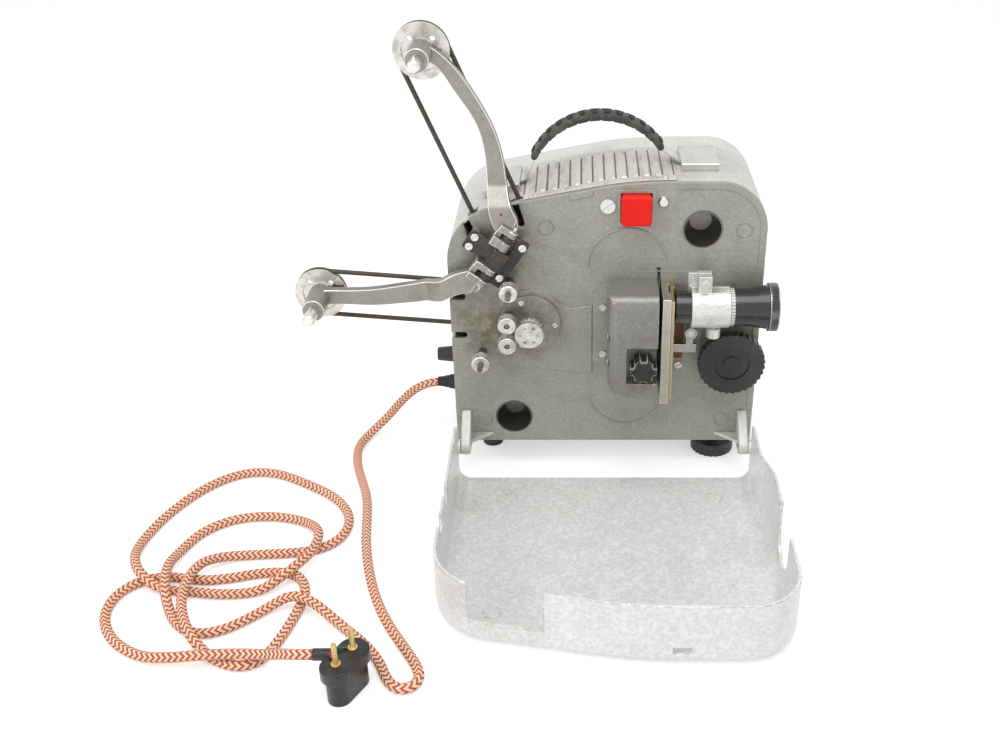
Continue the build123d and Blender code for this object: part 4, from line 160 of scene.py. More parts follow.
table_shape = bmesh.new()
bmesh.ops.create_grid(table_shape, x_segments=1, y_segments=1, size=TABLE_HALF)
table_mesh = bpy.data.meshes.new("table")
table_shape.to_mesh(table_mesh)
table_shape.free()
table = bpy.data.objects.new("table", table_mesh)
bpy.context.scene.collection.objects.link(table)
table_finish = bpy.data.materials.new("white_table")
table_finish.use_nodes = True
tree = table_finish.node_tree
matt = put(tree, "ShaderNodeBsdfDiffuse", {"Color": (TABLE_TONE, TABLE_TONE, TABLE_TONE, 1)})
glow = put(tree, "ShaderNodeEmission", {"Color": (1, 1, 1, 1), "Strength": TABLE_GLOW})
both = put(tree, "ShaderNodeAddShader", {0: matt.outputs[0], 1: glow.outputs[0]})
pick = put(tree, "ShaderNodeMixShader", {0: seen_rays(tree), 1: matt.outputs[0], 2: both.outputs[0]})
fill(tree, tree.nodes["Material Output"], {"Surface": pick.outputs[0]})
table_mesh.materials.append(table_finish)
table.location = (0, 0, -TABLE_GAP)


# Mains cord: an 8 mm rubber cable in a cotton braid woven in red and cream chevrons. It leaves the
# gland low in the left wall, drops to the table and lies in loose loops up to the plug.
PLATE_FOOT = (62.75, 63.05, 28.0)


def place(x, y, z):
    """A point given in millimetres from the front plate's foot, in the row frame in metres."""
    return Vector(((x + PLATE_FOOT[0]) / 1000, (y + PLATE_FOOT[1]) / 1000, (z + PLATE_FOOT[2]) / 1000))


def link_piece(name, mesh, body, replaced=()):
    """Puts a finished mesh in the scene, riding on its body."""
    piece = bpy.data.objects.new(name, mesh)
    bpy.context.scene.collection.objects.link(piece)
    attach(piece, body)
    if replaced:
        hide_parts(*replaced)
    return piece


def blank_finish(name):
    """A new material with its node tree and its main shader."""
    material = bpy.data.materials.new(name)
    material.use_nodes = True
    return material, material.node_tree, material.node_tree.nodes["Principled BSDF"]


def relief(tree, height, strength, depth):
    """A bump normal from a height."""
    return put(tree, "ShaderNodeBump", {"Height": height, "Strength": strength, "Distance": depth}).outputs[0]


def blend_colours(tree, share, first, second):
    """One colour over another by a share from 0 to 1."""
    return put(tree, "ShaderNodeMix", {0: share, 6: first, 7: second}, data_type="RGBA").outputs[2]


def spread(tree, value, low, high):
    """Stretches the part of a value between low and high to 0 to 1, with soft ends."""
    ramp = put(tree, "ShaderNodeMapRange", {0: value, 1: low, 2: high}, interpolation_type="SMOOTHSTEP")
    return ramp.outputs[0]


def maths(tree, operation, first, second=0.0, clamp=False):
    """One step of arithmetic on values."""
    return put(tree, "ShaderNodeMath", {0: first, 1: second}, operation=operation, use_clamp=clamp).outputs[0]


ON_TABLE = -24.0
OVER = -15.4
CORD_RADIUS = 0.004
CORD_ROUTE = [
    (-143, 40, 40), (-160, 40, 40), (-178, 44, 30), (-194, 51, 11), (-209, 57, -10),
    (-225, 50, -23), (-234, 28, ON_TABLE), (-231, 0, ON_TABLE), (-222, -28, ON_TABLE),
    (-212, -56, ON_TABLE), (-207, -90, ON_TABLE), (-203, -122, ON_TABLE), (-195, -158, ON_TABLE),
    (-184, -193, ON_TABLE), (-169, -225, ON_TABLE), (-153, -250, ON_TABLE), (-142, -268, ON_TABLE),
    (-138, -281, ON_TABLE), (-144, -291, ON_TABLE), (-155, -291, ON_TABLE), (-163, -281, ON_TABLE),
    (-170, -264, ON_TABLE), (-184, -245, ON_TABLE), (-206, -224, ON_TABLE), (-230, -206, OVER),
    (-249, -198, OVER), (-268, -206, ON_TABLE), (-282, -220, ON_TABLE), (-297, -231, ON_TABLE),
    (-314, -235, ON_TABLE), (-330, -226, ON_TABLE), (-342, -210, ON_TABLE), (-351, -190, OVER),
    (-357, -163, OVER), (-357, -136, ON_TABLE), (-346, -107, ON_TABLE), (-322, -88, ON_TABLE),
    (-290, -84, ON_TABLE), (-259, -92, ON_TABLE), (-240, -118, OVER), (-243, -148, OVER),
    (-258, -172, OVER), (-276, -185, ON_TABLE), (-302, -189, ON_TABLE), (-326, -186, ON_TABLE),
    (-357, -183, ON_TABLE), (-373, -176, OVER), (-386, -157, OVER), (-394, -126, ON_TABLE),
    (-384, -84, ON_TABLE), (-362, -42, ON_TABLE), (-334, -18, ON_TABLE), (-303, -17, ON_TABLE),
    (-271, -35, ON_TABLE), (-239, -57, ON_TABLE), (-221, -86, ON_TABLE), (-223, -115, ON_TABLE),
    (-241, -133, ON_TABLE), (-272, -137, ON_TABLE), (-303, -139, ON_TABLE), (-323, -147, -20),
    (-333, -163, OVER), (-336, -188, OVER), (-331, -214, OVER), (-317, -242, OVER),
    (-300, -257, ON_TABLE), (-283, -267, ON_TABLE), (-267, -269, ON_TABLE), (-255, -258, ON_TABLE),
    (-248, -236, ON_TABLE), (-242, -208, ON_TABLE), (-240, -185, ON_TABLE), (-248, -167, ON_TABLE),
    (-265, -160, ON_TABLE), (-287, -163, ON_TABLE), (-306, -169, ON_TABLE), (-329, -172, ON_TABLE),
    (-354, -166, ON_TABLE), (-377, -171, ON_TABLE), (-392, -190, ON_TABLE), (-392, -216, ON_TABLE),
    (-376, -242, ON_TABLE), (-350, -259, ON_TABLE), (-324, -265, -19), (-301, -266, OVER),
    (-275, -265, OVER + 0.5), (-253, -268, -13), (-237, -277, -4), (-224, -285, 3),
    (-212, -285, 3),
]
CORD_SIDES = 16
BRAID_STEP = 0.003
CHEVRON = 0.0047
HALF_CHEVRONS_ROUND = 8.0
CHEVRON_SLANT = 0.75
THREADS = 4.0


def centreline(name, points):
    """Points along a smooth line through the neighbourhood of its control points."""
    curve = bpy.data.curves.new(name, "CURVE")
    curve.dimensions = "3D"
    curve.resolution_u = 12
    spline = curve.splines.new("NURBS")
    spline.points.add(len(points) - 1)
    for knot, spot in zip(spline.points, points):
        knot.co = (*place(*spot), 1)
    spline.order_u = 3
    spline.use_endpoint_u = True
    holder = bpy.data.objects.new(name, curve)
    line = bpy.data.meshes.new_from_object(holder)
    found = [v.co.copy() for v in line.vertices]
    bpy.data.objects.remove(holder)
    return found


def even_points(points, step):
    """The same line with its points an equal step apart."""
    runs = [(b - a).length for a, b in zip(points, points[1:])]
    count = max(2, round(sum(runs) / step))
    gap = sum(runs) / count
    found = [points[0]]
    done = 0.0
    for start, end, run in zip(points, points[1:], runs):
        while done + run >= gap * len(found) and len(found) < count:
            found.append(start.lerp(end, (gap * len(found) - done) / run))
        done += run
    return found + [points[-1]], sum(runs)


def tube_along(name, points, radius, sides):
    """A round tube drawn along points, with its own map: round it in U, metres along it in V."""
    shape = bmesh.new()
    layer = shape.loops.layers.uv.new("braid")
    ring = bmesh.ops.create_circle(shape, segments=sides, radius=radius)["verts"]
    ahead = (points[1] - points[0]).normalized()
    turned = Vector((0, 0, 1)).rotation_difference(ahead)
    bmesh.ops.transform(shape, matrix=Matrix.Translation(points[0]) @ turned.to_matrix().to_4x4(), verts=ring)
    shape.faces.new(list(reversed(ring)))
    along = 0.0
    for number in range(1, len(points)):
        after = points[min(number + 1, len(points) - 1)]
        heading = (after - points[number - 1]).normalized()
        turn = ahead.rotation_difference(heading)
        move = (Matrix.Translation(points[number]) @ turn.to_matrix().to_4x4()
                @ Matrix.Translation(-points[number - 1]))
        rim = [shape.edges.get((ring[i], ring[(i + 1) % sides])) for i in range(sides)]
        made = bmesh.ops.extrude_edge_only(shape, edges=rim)["geom"]
        order = {v: i for i, v in enumerate(ring)}
        skirt = [piece for piece in made if isinstance(piece, bmesh.types.BMFace)]
        fresh = [None] * sides
        for loop in (loop for face in skirt for loop in face.loops if loop.vert in order):
            for other in (loop.link_loop_next.vert, loop.link_loop_prev.vert):
                if other not in order:
                    fresh[order[loop.vert]] = other
        bmesh.ops.transform(shape, matrix=move, verts=fresh)
        step = (points[number] - points[number - 1]).length
        place_of = {v: i for i, v in enumerate(fresh)}
        for face in skirt:
            spots = [order.get(loop.vert, place_of.get(loop.vert)) for loop in face.loops]
            seam = max(spots) - min(spots) > 1
            for loop, spot in zip(face.loops, spots):
                share = (sides if seam and spot == 0 else spot) / sides
                loop[layer].uv = (share, along + (step if loop.vert in place_of else 0))
        along += step
        ahead = heading
        ring = fresh
    shape.faces.new(ring)
    for face in shape.faces:
        face.smooth = True
    bmesh.ops.recalc_face_normals(shape, faces=shape.faces)
    mesh = bpy.data.meshes.new(name)
    shape.to_mesh(mesh)
    shape.free()
    return mesh


cord_points, cord_length = even_points(centreline("cord_line", CORD_ROUTE), BRAID_STEP)
cord_mesh = tube_along("cord_braid", cord_points, CORD_RADIUS, CORD_SIDES)
cord = link_piece("cord_braid", cord_mesh, "projector", ["power_cord"])
braid, tree, shader = blank_finish("cotton_braid")
woven = put(tree, "ShaderNodeSeparateXYZ", {0: put(tree, "ShaderNodeUVMap", uv_map="braid").outputs[0]})
rows = maths(tree, "DIVIDE", woven.outputs[1], CHEVRON)
zigzag = maths(tree, "PINGPONG", maths(tree, "MULTIPLY", woven.outputs[0], HALF_CHEVRONS_ROUND), 1.0)
leaning = maths(tree, "ADD", rows, maths(tree, "MULTIPLY", zigzag, CHEVRON_SLANT))
phase = maths(tree, "FRACT", leaning)
cream_share = spread(tree, maths(tree, "PINGPONG", phase, 0.5), 0.20, 0.28)
yarn = put(tree, "ShaderNodeTexNoise", {"Vector": put(tree, "ShaderNodeTexCoord").outputs["Object"],
                                        "Scale": 900.0, "Detail": 2.0})
worn = put(tree, "ShaderNodeTexNoise", {"Vector": put(tree, "ShaderNodeTexCoord").outputs["Object"],
                                        "Scale": 14.0, "Detail": 2.0})
red_yarn = blend_colours(tree, yarn.outputs[0], (0.62, 0.085, 0.035, 1), (0.50, 0.13, 0.07, 1))
cream_yarn = blend_colours(tree, worn.outputs[0], (0.86, 0.62, 0.42, 1), (0.93, 0.80, 0.63, 1))
fill(tree, shader, {
    "Base Color": blend_colours(tree, cream_share, red_yarn, cream_yarn),
    "Roughness": 0.9,
    "Specular IOR Level": 0.2,
})
ply = maths(tree, "PINGPONG", maths(tree, "MULTIPLY", leaning, THREADS), 0.5)
fill(tree, shader, {"Normal": relief(tree, maths(tree, "ADD", ply, yarn.outputs[0]), 0.5, 0.0004)})
cord_mesh.materials.append(braid)


# Plug: a moulded black resin body which stands on its flat end, a rubber sleeve round the cord, and
# two split brass pins. One red and one green core cross its top to the terminals at the pins.
def whole_faces(node):
    """A copy of a CAD node's mesh with its loose triangles joined to whole flat faces."""
    shape = bmesh.new()
    shape.from_mesh(bpy.data.objects[node].data)
    bmesh.ops.remove_doubles(shape, verts=shape.verts, dist=1e-6)
    bmesh.ops.dissolve_limit(shape, angle_limit=math.radians(0.5), verts=shape.verts, edges=shape.edges)
    return shape


def softened(node, width, angle):
    """A CAD node's shape with its outer edges rounded, and these marked in the layer 'edge'."""
    shape = whole_faces(node)
    sharp = [edge for edge in shape.edges
             if len(edge.link_faces) == 2 and edge.calc_face_angle_signed() > math.radians(angle)]
    rounded = bmesh.ops.bevel(shape, geom=sharp, offset=width / 1000, offset_type="OFFSET", affect="EDGES",
                              segments=2, profile=0.5, material=-1, clamp_overlap=False)["faces"]
    layer = shape.loops.layers.float.new("edge")
    for face in rounded:
        for loop in face.loops:
            loop[layer] = 1.0
    return shape


def mesh_of(name, shape, sharp_angle=40.0):
    """A smooth-shaded mesh whose real corners stay crisp."""
    mesh = bpy.data.meshes.new(name)
    for face in shape.faces:
        face.smooth = True
    shape.to_mesh(mesh)
    shape.free()
    mesh.set_sharp_from_angle(angle=math.radians(sharp_angle))
    return mesh


def dressed(node, finish, width, angle=38.0):
    """Stands a softened copy in for a CAD node, on the same body, in its finish."""
    mesh = mesh_of(node + "_dressed", softened(node, width, angle))
    mesh.materials.append(finish)
    solid = bpy.data.objects[node]
    piece = link_piece(node + "_dressed", mesh, body_of(solid)[0], [node])
    flat = piece.modifiers.new("even_shading", "WEIGHTED_NORMAL")
    flat.keep_sharp = True
    return piece


def here(tree):
    """The place on the surface, in the object's own coordinates in metres."""
    return put(tree, "ShaderNodeTexCoord").outputs["Object"]


def noise(tree, scale, detail=3.0, roughness=0.55, vector=None):
    """Cloudy noise at so many lumps to the metre."""
    return put(tree, "ShaderNodeTexNoise", {"Vector": vector or here(tree), "Scale": scale, "Detail": detail,
                                            "Roughness": roughness}).outputs[0]


def new_group(name, inputs, outputs):
    """An empty node group, with its input and output nodes."""
    group = bpy.data.node_groups.new(name, "ShaderNodeTree")
    kinds = {"colour": "NodeSocketColor", "value": "NodeSocketFloat"}
    for label, kind, value in inputs:
        group.interface.new_socket(label, in_out="INPUT", socket_type=kinds[kind]).default_value = value
    for label, kind in outputs:
        group.interface.new_socket(label, in_out="OUTPUT", socket_type=kinds[kind])
    return group, put(group, "NodeGroupInput"), put(group, "NodeGroupOutput")


def use_group(tree, group, inputs=None):
    """Places a shared effect in a material."""
    node = put(tree, "ShaderNodeGroup", node_tree=group)
    return fill(tree, node, inputs or {})


dust, inside, out = new_group(
    "settled_dust", [("Base", "colour", (0, 0, 0, 1)), ("Dust", "colour", (0.4, 0.37, 0.32, 1)),
                     ("Amount", "value", 0.3)], [("Color", "colour")])
cloud = spread(dust, noise(dust, 45.0, 6.0, 0.65), 0.42, 0.72)
speck = spread(dust, noise(dust, 520.0, 2.0, 0.5), 0.60, 0.72)
laid = maths(dust, "MULTIPLY", maths(dust, "ADD", cloud, speck, True), inside.outputs["Amount"], True)
fill(dust, out, {"Color": blend_colours(dust, laid, inside.outputs["Base"], inside.outputs["Dust"])})

# One mask on the rounded edges, used both for wear on paint and metal and for the painted highlight on the
# lens's front ring.
edge_wear_and_highlight, inside, out = new_group("edge_wear_and_highlight", [("Coverage", "value", 0.5)], [("Mask", "value")])
rim = put(edge_wear_and_highlight, "ShaderNodeAttribute", attribute_name="edge").outputs["Fac"]
patchy = noise(edge_wear_and_highlight, 160.0, 5.0, 0.7)
held = maths(edge_wear_and_highlight, "SUBTRACT", 0.95, inside.outputs["Coverage"])
shown = spread(edge_wear_and_highlight, patchy, held, maths(edge_wear_and_highlight, "ADD", held, 0.12))
fill(edge_wear_and_highlight, out, {"Mask": maths(edge_wear_and_highlight, "MULTIPLY", rim, shown, True)})


def dusty(tree, base, dirt, amount):
    """A base colour with dust settled on it in clouds and specks."""
    return use_group(tree, dust, {"Base": base, "Dust": dirt, "Amount": amount}).outputs["Color"]


def rims_worn_and_highlit(tree, coverage):
    """Is 1 on patches of the rounded edges: as wear where a finish is worn through, and as painted highlight
    on the lens's front ring.
    """
    return use_group(tree, edge_wear_and_highlight, {"Coverage": coverage}).outputs["Mask"]


resin, tree, shader = blank_finish("black_resin")
fill(tree, shader, {"Base Color": dusty(tree, (0.012, 0.012, 0.013, 1), (0.10, 0.095, 0.085, 1), 0.35),
                    "Roughness": 0.32,
                    "Normal": relief(tree, noise(tree, 260.0), 0.08, 0.0004)})
plug = dressed("plug_body", resin, 0.5)

brass, tree, shader = blank_finish("tarnished_brass")
dull = noise(tree, 220.0, 4.0)
fill(tree, shader, {"Base Color": blend_colours(tree, dull, (0.62, 0.42, 0.16, 1), (0.78, 0.60, 0.30, 1)),
                    "Metallic": 1.0, "Roughness": spread(tree, dull, -0.6, 1.6)})
pins = dressed("plug_pins", brass, 0.2)


CORE_RADIUS = 0.00085
CORE_STEP = 0.0007
CORE_SIDES = 8


def core_wire(name, spots, colour):
    """A thin rubber core from the cord to a terminal."""
    rubber, tree, shader = blank_finish(name + "_rubber")
    shade = noise(tree, 700.0, 2.0)
    dark = tuple(channel * 0.6 for channel in colour[:3]) + (1,)
    fill(tree, shader, {"Base Color": blend_colours(tree, shade, colour, dark), "Roughness": 0.5,
                        "Normal": relief(tree, shade, 0.2, 0.0002)})
    path, _ = even_points(centreline(name + "_line", spots), CORE_STEP)
    mesh = tube_along(name, path, CORE_RADIUS, CORE_SIDES)
    mesh.materials.append(rubber)
    return link_piece(name, mesh, "projector")


red_core = core_wire("red_core", [(-203, -285.6, 4.6), (-200, -287, 6.6), (-197.5, -290.5, 6.2),
                                  (-195.0, -293.0, 5.2), (-194.4, -294.2, 4.6)], (0.55, 0.03, 0.02, 1))
green_core = core_wire("green_core", [(-203, -284.4, 4.6), (-199.5, -283.6, 6.6), (-194.5, -281.8, 6.4),
                                      (-189.0, -280.2, 5.2), (-187.0, -279.8, 4.6)], (0.03, 0.14, 0.06, 1))


# Gland: a moulded rubber bush in the case's left wall. It steps down in ribs and tapers round the
# cord where the cord leaves the case.
rubber, tree, shader = blank_finish("black_rubber")
fill(tree, shader, {"Base Color": dusty(tree, (0.022, 0.021, 0.020, 1), (0.16, 0.15, 0.13, 1), 0.4),
                    "Roughness": 0.75, "Normal": relief(tree, noise(tree, 420.0), 0.25, 0.0004)})
GLAND_Y, GLAND_Z = 40, 40
GLAND_RINGS = [(-134.0, 8.8), (-137.0, 8.8), (-138.0, 7.4), (-140.0, 7.4), (-141.0, 6.9), (-144.0, 6.6),
               (-145.0, 5.9), (-148.0, 5.6), (-149.0, 5.0), (-155.0, 4.4)]
shape = bmesh.new()
ring = bmesh.ops.create_circle(shape, segments=40, radius=GLAND_RINGS[0][1] / 1000)["verts"]
turn = Matrix.Rotation(-math.pi / 2, 4, "Y")
start = Matrix.Translation(place(GLAND_RINGS[0][0], GLAND_Y, GLAND_Z))
bmesh.ops.transform(shape, matrix=start @ turn, verts=ring)
edges = list(shape.edges)
for (spot, radius), (before, last) in zip(GLAND_RINGS[1:], GLAND_RINGS):
    made = bmesh.ops.extrude_edge_only(shape, edges=edges)["geom"]
    verts = [v for v in made if isinstance(v, bmesh.types.BMVert)]
    edges = [e for e in shape.edges if all(v in verts for v in e.verts)]
    centre = place(before, GLAND_Y, GLAND_Z)
    grow = Matrix.Diagonal((1, radius / last, radius / last, 1)) @ Matrix.Translation(-centre)
    bmesh.ops.transform(shape, matrix=Matrix.Translation(place(spot, GLAND_Y, GLAND_Z)) @ grow, verts=verts)
bmesh.ops.contextual_create(shape, geom=edges)
bmesh.ops.recalc_face_normals(shape, faces=shape.faces)
gland = mesh_of("gland_taper", shape)
gland.materials.append(rubber)
link_piece("gland_taper", gland, "projector")


# Case: two pressed alloy shells and a cast front plate, all in a hammered silver-grey stove paint.
# The plate's paint is mixed darker than the case's as painted shade on its upright front face, and it
# has brown oil grime about its rollers; the case's top and back are pale.
hammer, inside, out = new_group(
    "hammered_paint", [("Base", "colour", (0.5, 0.5, 0.5, 1)), ("Fleck", "colour", (0.6, 0.6, 0.6, 1)),
                       ("Size", "value", 420.0)], [("Color", "colour"), ("Height", "value")])
cell = put(hammer, "ShaderNodeTexVoronoi", {"Vector": here(hammer), "Scale": inside.outputs["Size"],
                                            "Randomness": 1.0}, feature="SMOOTH_F1")
cell.inputs["Smoothness"].default_value = 0.7
drift = noise(hammer, 9.0, 4.0)
dimple = cell.outputs["Distance"]
bright = maths(hammer, "ADD", maths(hammer, "MULTIPLY", dimple, 0.75),
               maths(hammer, "MULTIPLY", drift, 0.5), True)
fill(hammer, out, {"Color": blend_colours(hammer, bright, inside.outputs["Base"], inside.outputs["Fleck"]),
                   "Height": dimple})


def smudge(tree, spot, radius, fade):
    """A soft-edged round area about a place given in millimetres."""
    away = put(tree, "ShaderNodeVectorMath", {0: here(tree), 1: tuple(place(*spot))}, operation="DISTANCE")
    return spread(tree, away.outputs["Value"], radius / 1000, (radius - fade) / 1000)


def hammered(name, base, fleck, rough, size=430.0, stain=(0.16, 0.11, 0.06, 1), stains=(), stain_share=0.5,
             dust_share=0.15, metal=0.25, wear=0.25, bare=(0.55, 0.54, 0.50, 1), bump=0.35):
    """Hammered paint: flecked, dimpled, grimy at given places and worn through on its edges."""
    material, tree, shader = blank_finish(name)
    paint = use_group(tree, hammer, {"Base": base, "Fleck": fleck, "Size": size})
    colour = paint.outputs["Color"]
    blotch = spread(tree, noise(tree, 70.0, 7.0, 0.7), 0.36, 0.66)
    for spot, radius, fade in stains:
        mask = maths(tree, "MULTIPLY", smudge(tree, spot, radius, fade), blotch)
        colour = blend_colours(tree, maths(tree, "MULTIPLY", mask, stain_share), colour, stain)
    dirty = dusty(tree, colour, (0.22, 0.20, 0.16, 1), dust_share)
    fill(tree, shader, {"Base Color": blend_colours(tree, rims_worn_and_highlit(tree, wear), dirty, bare),
                        "Roughness": rough, "Metallic": metal,
                        "Normal": relief(tree, paint.outputs["Height"], bump, 0.0006)})
    return material


ROLLER_GRIME = [((-92, -9, 189), 62, 50), ((-95, -9, 112), 58, 45), ((-65, -9, 123), 48, 30),
                ((-112, -9, 125), 34, 22)]
# Painted shade: the plate's paint is a darker copy of the case's, standing in for the shade on its upright
# front.
plate_paint = hammered("plate_paint", (0.285, 0.285, 0.245, 1), (0.42, 0.42, 0.365, 1), 0.42,
                       stains=ROLLER_GRIME, stain_share=0.55, dust_share=0.25, wear=0.35)
case_paint = hammered("case_paint", (0.56, 0.56, 0.52, 1), (0.74, 0.745, 0.70, 1), 0.45, stain_share=0.35,
                      stains=[((-5, 20, 251), 95, 40), ((88, 50, 251), 40, 30), ((-110, 50, 251), 40, 30)])
cover_paint = hammered("cover_paint", (0.60, 0.605, 0.58, 1), (0.80, 0.805, 0.77, 1), 0.42)
dressed("front_plate", plate_paint, 0.8)
dressed("main_casing", case_paint, 1.0)
dressed("rear_cover", cover_paint, 0.7)
dressed("hinge_ears", case_paint, 0.9)
dressed("sprocket_disc", plate_paint, 0.4)


def give(material, *names):
    """Gives CAD nodes whose shape is already right a better finish."""
    for name in names:
        for held in bpy.data.objects[name].material_slots:
            held.material = material


give(plate_paint, "lamp_base")


# Lid: the carrying case's front, pressed from the same alloy and laid flat on the table. Its inside
# is silver hammer paint, with brown runs of old oil along the near rim and at the low wall.
lid_paint = hammered("lid_paint", (0.60, 0.605, 0.60, 1), (0.95, 0.955, 0.95, 1), 0.34, size=330.0,
                     metal=0.12, wear=0.5, bump=0.5, dust_share=0.1, stain_share=0.45,
                     stain=(0.36, 0.27, 0.17, 1),
                     stains=[((-70, -262, 0), 40, 36), ((130, -150, 0), 30, 26), ((-125, -60, -10), 32, 28)])
dressed("lid", lid_paint, 0.7)


# Arms and bracket: two cast alloy reel arms with filed bright borders round a dull face, on a black
# cast bracket that four slotted screws hold to the plate. The pins are bright steel.
def grained(name, base, light, rough, metal, scale=300.0, wear=0.9, bare=(0.82, 0.80, 0.75, 1),
            dust_share=0.3, bump=0.25):
    """Bare or thinly painted metal with a cast grain, dull on its faces and bright on its edges."""
    material, tree, shader = blank_finish(name)
    grain = noise(tree, scale, 5.0, 0.6)
    face = blend_colours(tree, grain, base, light)
    dirty = dusty(tree, face, (0.20, 0.165, 0.12, 1), dust_share)
    rim = rims_worn_and_highlit(tree, wear)
    fill(tree, shader, {"Base Color": blend_colours(tree, rim, dirty, bare),
                        "Roughness": maths(tree, "SUBTRACT", rough, maths(tree, "MULTIPLY", rim, 0.15)),
                        "Metallic": metal, "Normal": relief(tree, grain, bump, 0.0005)})
    return material


cast_alloy = grained("cast_alloy", (0.25, 0.24, 0.215, 1), (0.43, 0.415, 0.375, 1), 0.42, 0.7)
black_cast = grained("black_cast", (0.018, 0.017, 0.016, 1), (0.035, 0.033, 0.03, 1), 0.42, 0.1, wear=0.45,
                     bare=(0.22, 0.20, 0.18, 1))
bright_steel = grained("bright_steel", (0.56, 0.55, 0.53, 1), (0.74, 0.73, 0.71, 1), 0.26, 1.0, scale=500.0,
                       dust_share=0.12, bump=0.06)
dressed("upper_arm", cast_alloy, 0.7, 50.0)
dressed("lower_arm", cast_alloy, 0.7, 50.0)
dressed("arm_bracket", black_cast, 0.5)
dressed("hinge_pins", bright_steel, 0.25)
dressed("face_screws", bright_steel, 0.15)


# Red mark: a small round dab of red enamel on the upper arm, a little above the bracket. It sits on
# the arm's front face and turns with the arm.
MARK_AT = (-86.5, -16.9, 229.5)
MARK_RADIUS = 0.0013
MARK_FLATNESS = 0.3
enamel, tree, shader = blank_finish("red_enamel")
dab = noise(tree, 900.0)
fill(tree, shader, {"Base Color": blend_colours(tree, dab, (0.5, 0.02, 0.015, 1), (0.3, 0.02, 0.015, 1)),
                    "Roughness": 0.45, "Normal": relief(tree, dab, 0.1, 0.0002)})
shape = bmesh.new()
bmesh.ops.create_uvsphere(shape, u_segments=20, v_segments=12, radius=MARK_RADIUS)
spot = Matrix.Translation(place(*MARK_AT)) @ Matrix.Diagonal((1, MARK_FLATNESS, 1, 1))
bmesh.ops.transform(shape, matrix=spot, verts=shape.verts)
dot = mesh_of("red_mark", shape)
dot.materials.append(enamel)
link_piece("red_mark", dot, "upper_arm")


# Pulleys, spindles, rollers and sprocket: turned aluminium and steel, with the fine rings that the
# lathe left, and dark oil in the grooves.
RINGS_PER_METRE = 2200.0
turned_rings, inside, out = new_group(
    "turned_rings", [("Centre X", "value", 0.0), ("Centre Z", "value", 0.0)],
    [("Height", "value"), ("Mask", "value")])
spot = put(turned_rings, "ShaderNodeSeparateXYZ", {0: here(turned_rings)})
across = maths(turned_rings, "SUBTRACT", spot.outputs[0], inside.outputs["Centre X"])
upward = maths(turned_rings, "SUBTRACT", spot.outputs[2], inside.outputs["Centre Z"])
reach = maths(turned_rings, "SQRT", maths(
    turned_rings, "ADD", maths(turned_rings, "MULTIPLY", across, across),
    maths(turned_rings, "MULTIPLY", upward, upward)))
wave = maths(turned_rings, "PINGPONG", maths(turned_rings, "MULTIPLY", reach, RINGS_PER_METRE), 1.0)
oil = spread(turned_rings, noise(turned_rings, 130.0, 5.0), 0.40, 0.70)
fill(turned_rings, out, {"Height": wave, "Mask": oil})


def turned(name, centre, light, dark, rough):
    """Turned metal whose rings run round an axis along Y through a centre in X and Z."""
    material, tree, shader = blank_finish(name)
    axis = place(centre[0], 0, centre[1])
    lathe = use_group(tree, turned_rings, {"Centre X": axis.x, "Centre Z": axis.z})
    oily = maths(tree, "MULTIPLY", lathe.outputs["Mask"], 0.55)
    fill(tree, shader, {"Base Color": blend_colours(tree, oily, light, dark), "Metallic": 1.0,
                        "Roughness": maths(tree, "ADD", rough,
                                           maths(tree, "MULTIPLY", lathe.outputs["Mask"], 0.16)),
                        "Normal": relief(tree, lathe.outputs["Height"], 0.12, 0.0003)})
    return material


SPIN_AXES = {
    "upper_pulley": (-146, 356), "upper_spindle": (-146, 356), "lower_pulley": (-248, 145),
    "lower_spindle": (-248, 145), "top_roller": (-82.3, 161.7), "middle_roller": (-84.3, 131.7),
    "low_roller": (-84.6, 112.3), "left_roller": (-108.2, 94.4), "sprocket": (-65.5, 123.2),
    "belt_drive_pulley": (-52, 129),
}
STEEL, ALLOY, OLD_OIL = (0.80, 0.79, 0.76, 1), (0.72, 0.71, 0.68, 1), (0.34, 0.30, 0.24, 1)
for node, axis in SPIN_AXES.items():
    tone, rough = (STEEL, 0.18) if node.endswith("spindle") else (ALLOY, 0.26)
    finish = turned(node + "_metal", axis, tone, OLD_OIL, rough)
    if node in ("upper_pulley", "lower_pulley", "belt_drive_pulley", "sprocket"):
        give(finish, node)
    else:
        dressed(node, finish, 0.3)
dark_steel = grained("dark_steel", (0.13, 0.125, 0.12, 1), (0.24, 0.23, 0.22, 1), 0.34, 0.9, scale=450.0)
give(dark_steel, "roller_posts", "spindle_cups")


# Reel belts: two endless coil-spring belts blackened with oil, each from the drive pulley in the
# plate to the pulley at its arm's end. They give way at the arm's knee when the arm folds.
belt_rubber, tree, shader = blank_finish("oiled_belt")
strands = put(tree, "ShaderNodeTexWave", {"Vector": here(tree), "Scale": 260.0, "Distortion": 0.6},
              wave_type="BANDS", bands_direction="DIAGONAL")
oily = blend_colours(tree, noise(tree, 300.0), (0.035, 0.03, 0.025, 1), (0.11, 0.09, 0.065, 1))
fill(tree, shader, {"Base Color": oily, "Roughness": 0.5, "Metallic": 0.3,
                    "Normal": relief(tree, strands.outputs["Fac"], 0.5, 0.0004)})
KNEES = {
    "upper": ("upper_arm", (-76, 10, 187), (-88, 10, 216)),
    "lower": ("lower_arm", (-84, 14.5, 132), (-116, 14.5, 134)),
}
for side, (arm, before, after) in KNEES.items():
    mesh = mesh_of(side + "_reel_belt", whole_faces(side + "_belt"))
    mesh.materials.append(belt_rubber)
    belt = bpy.data.objects.new(side + "_reel_belt", mesh)
    bpy.context.scene.collection.objects.link(belt)
    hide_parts(side + "_belt")
    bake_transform(belt, "projector", arm, tuple(place(*before)), tuple(place(*after)))


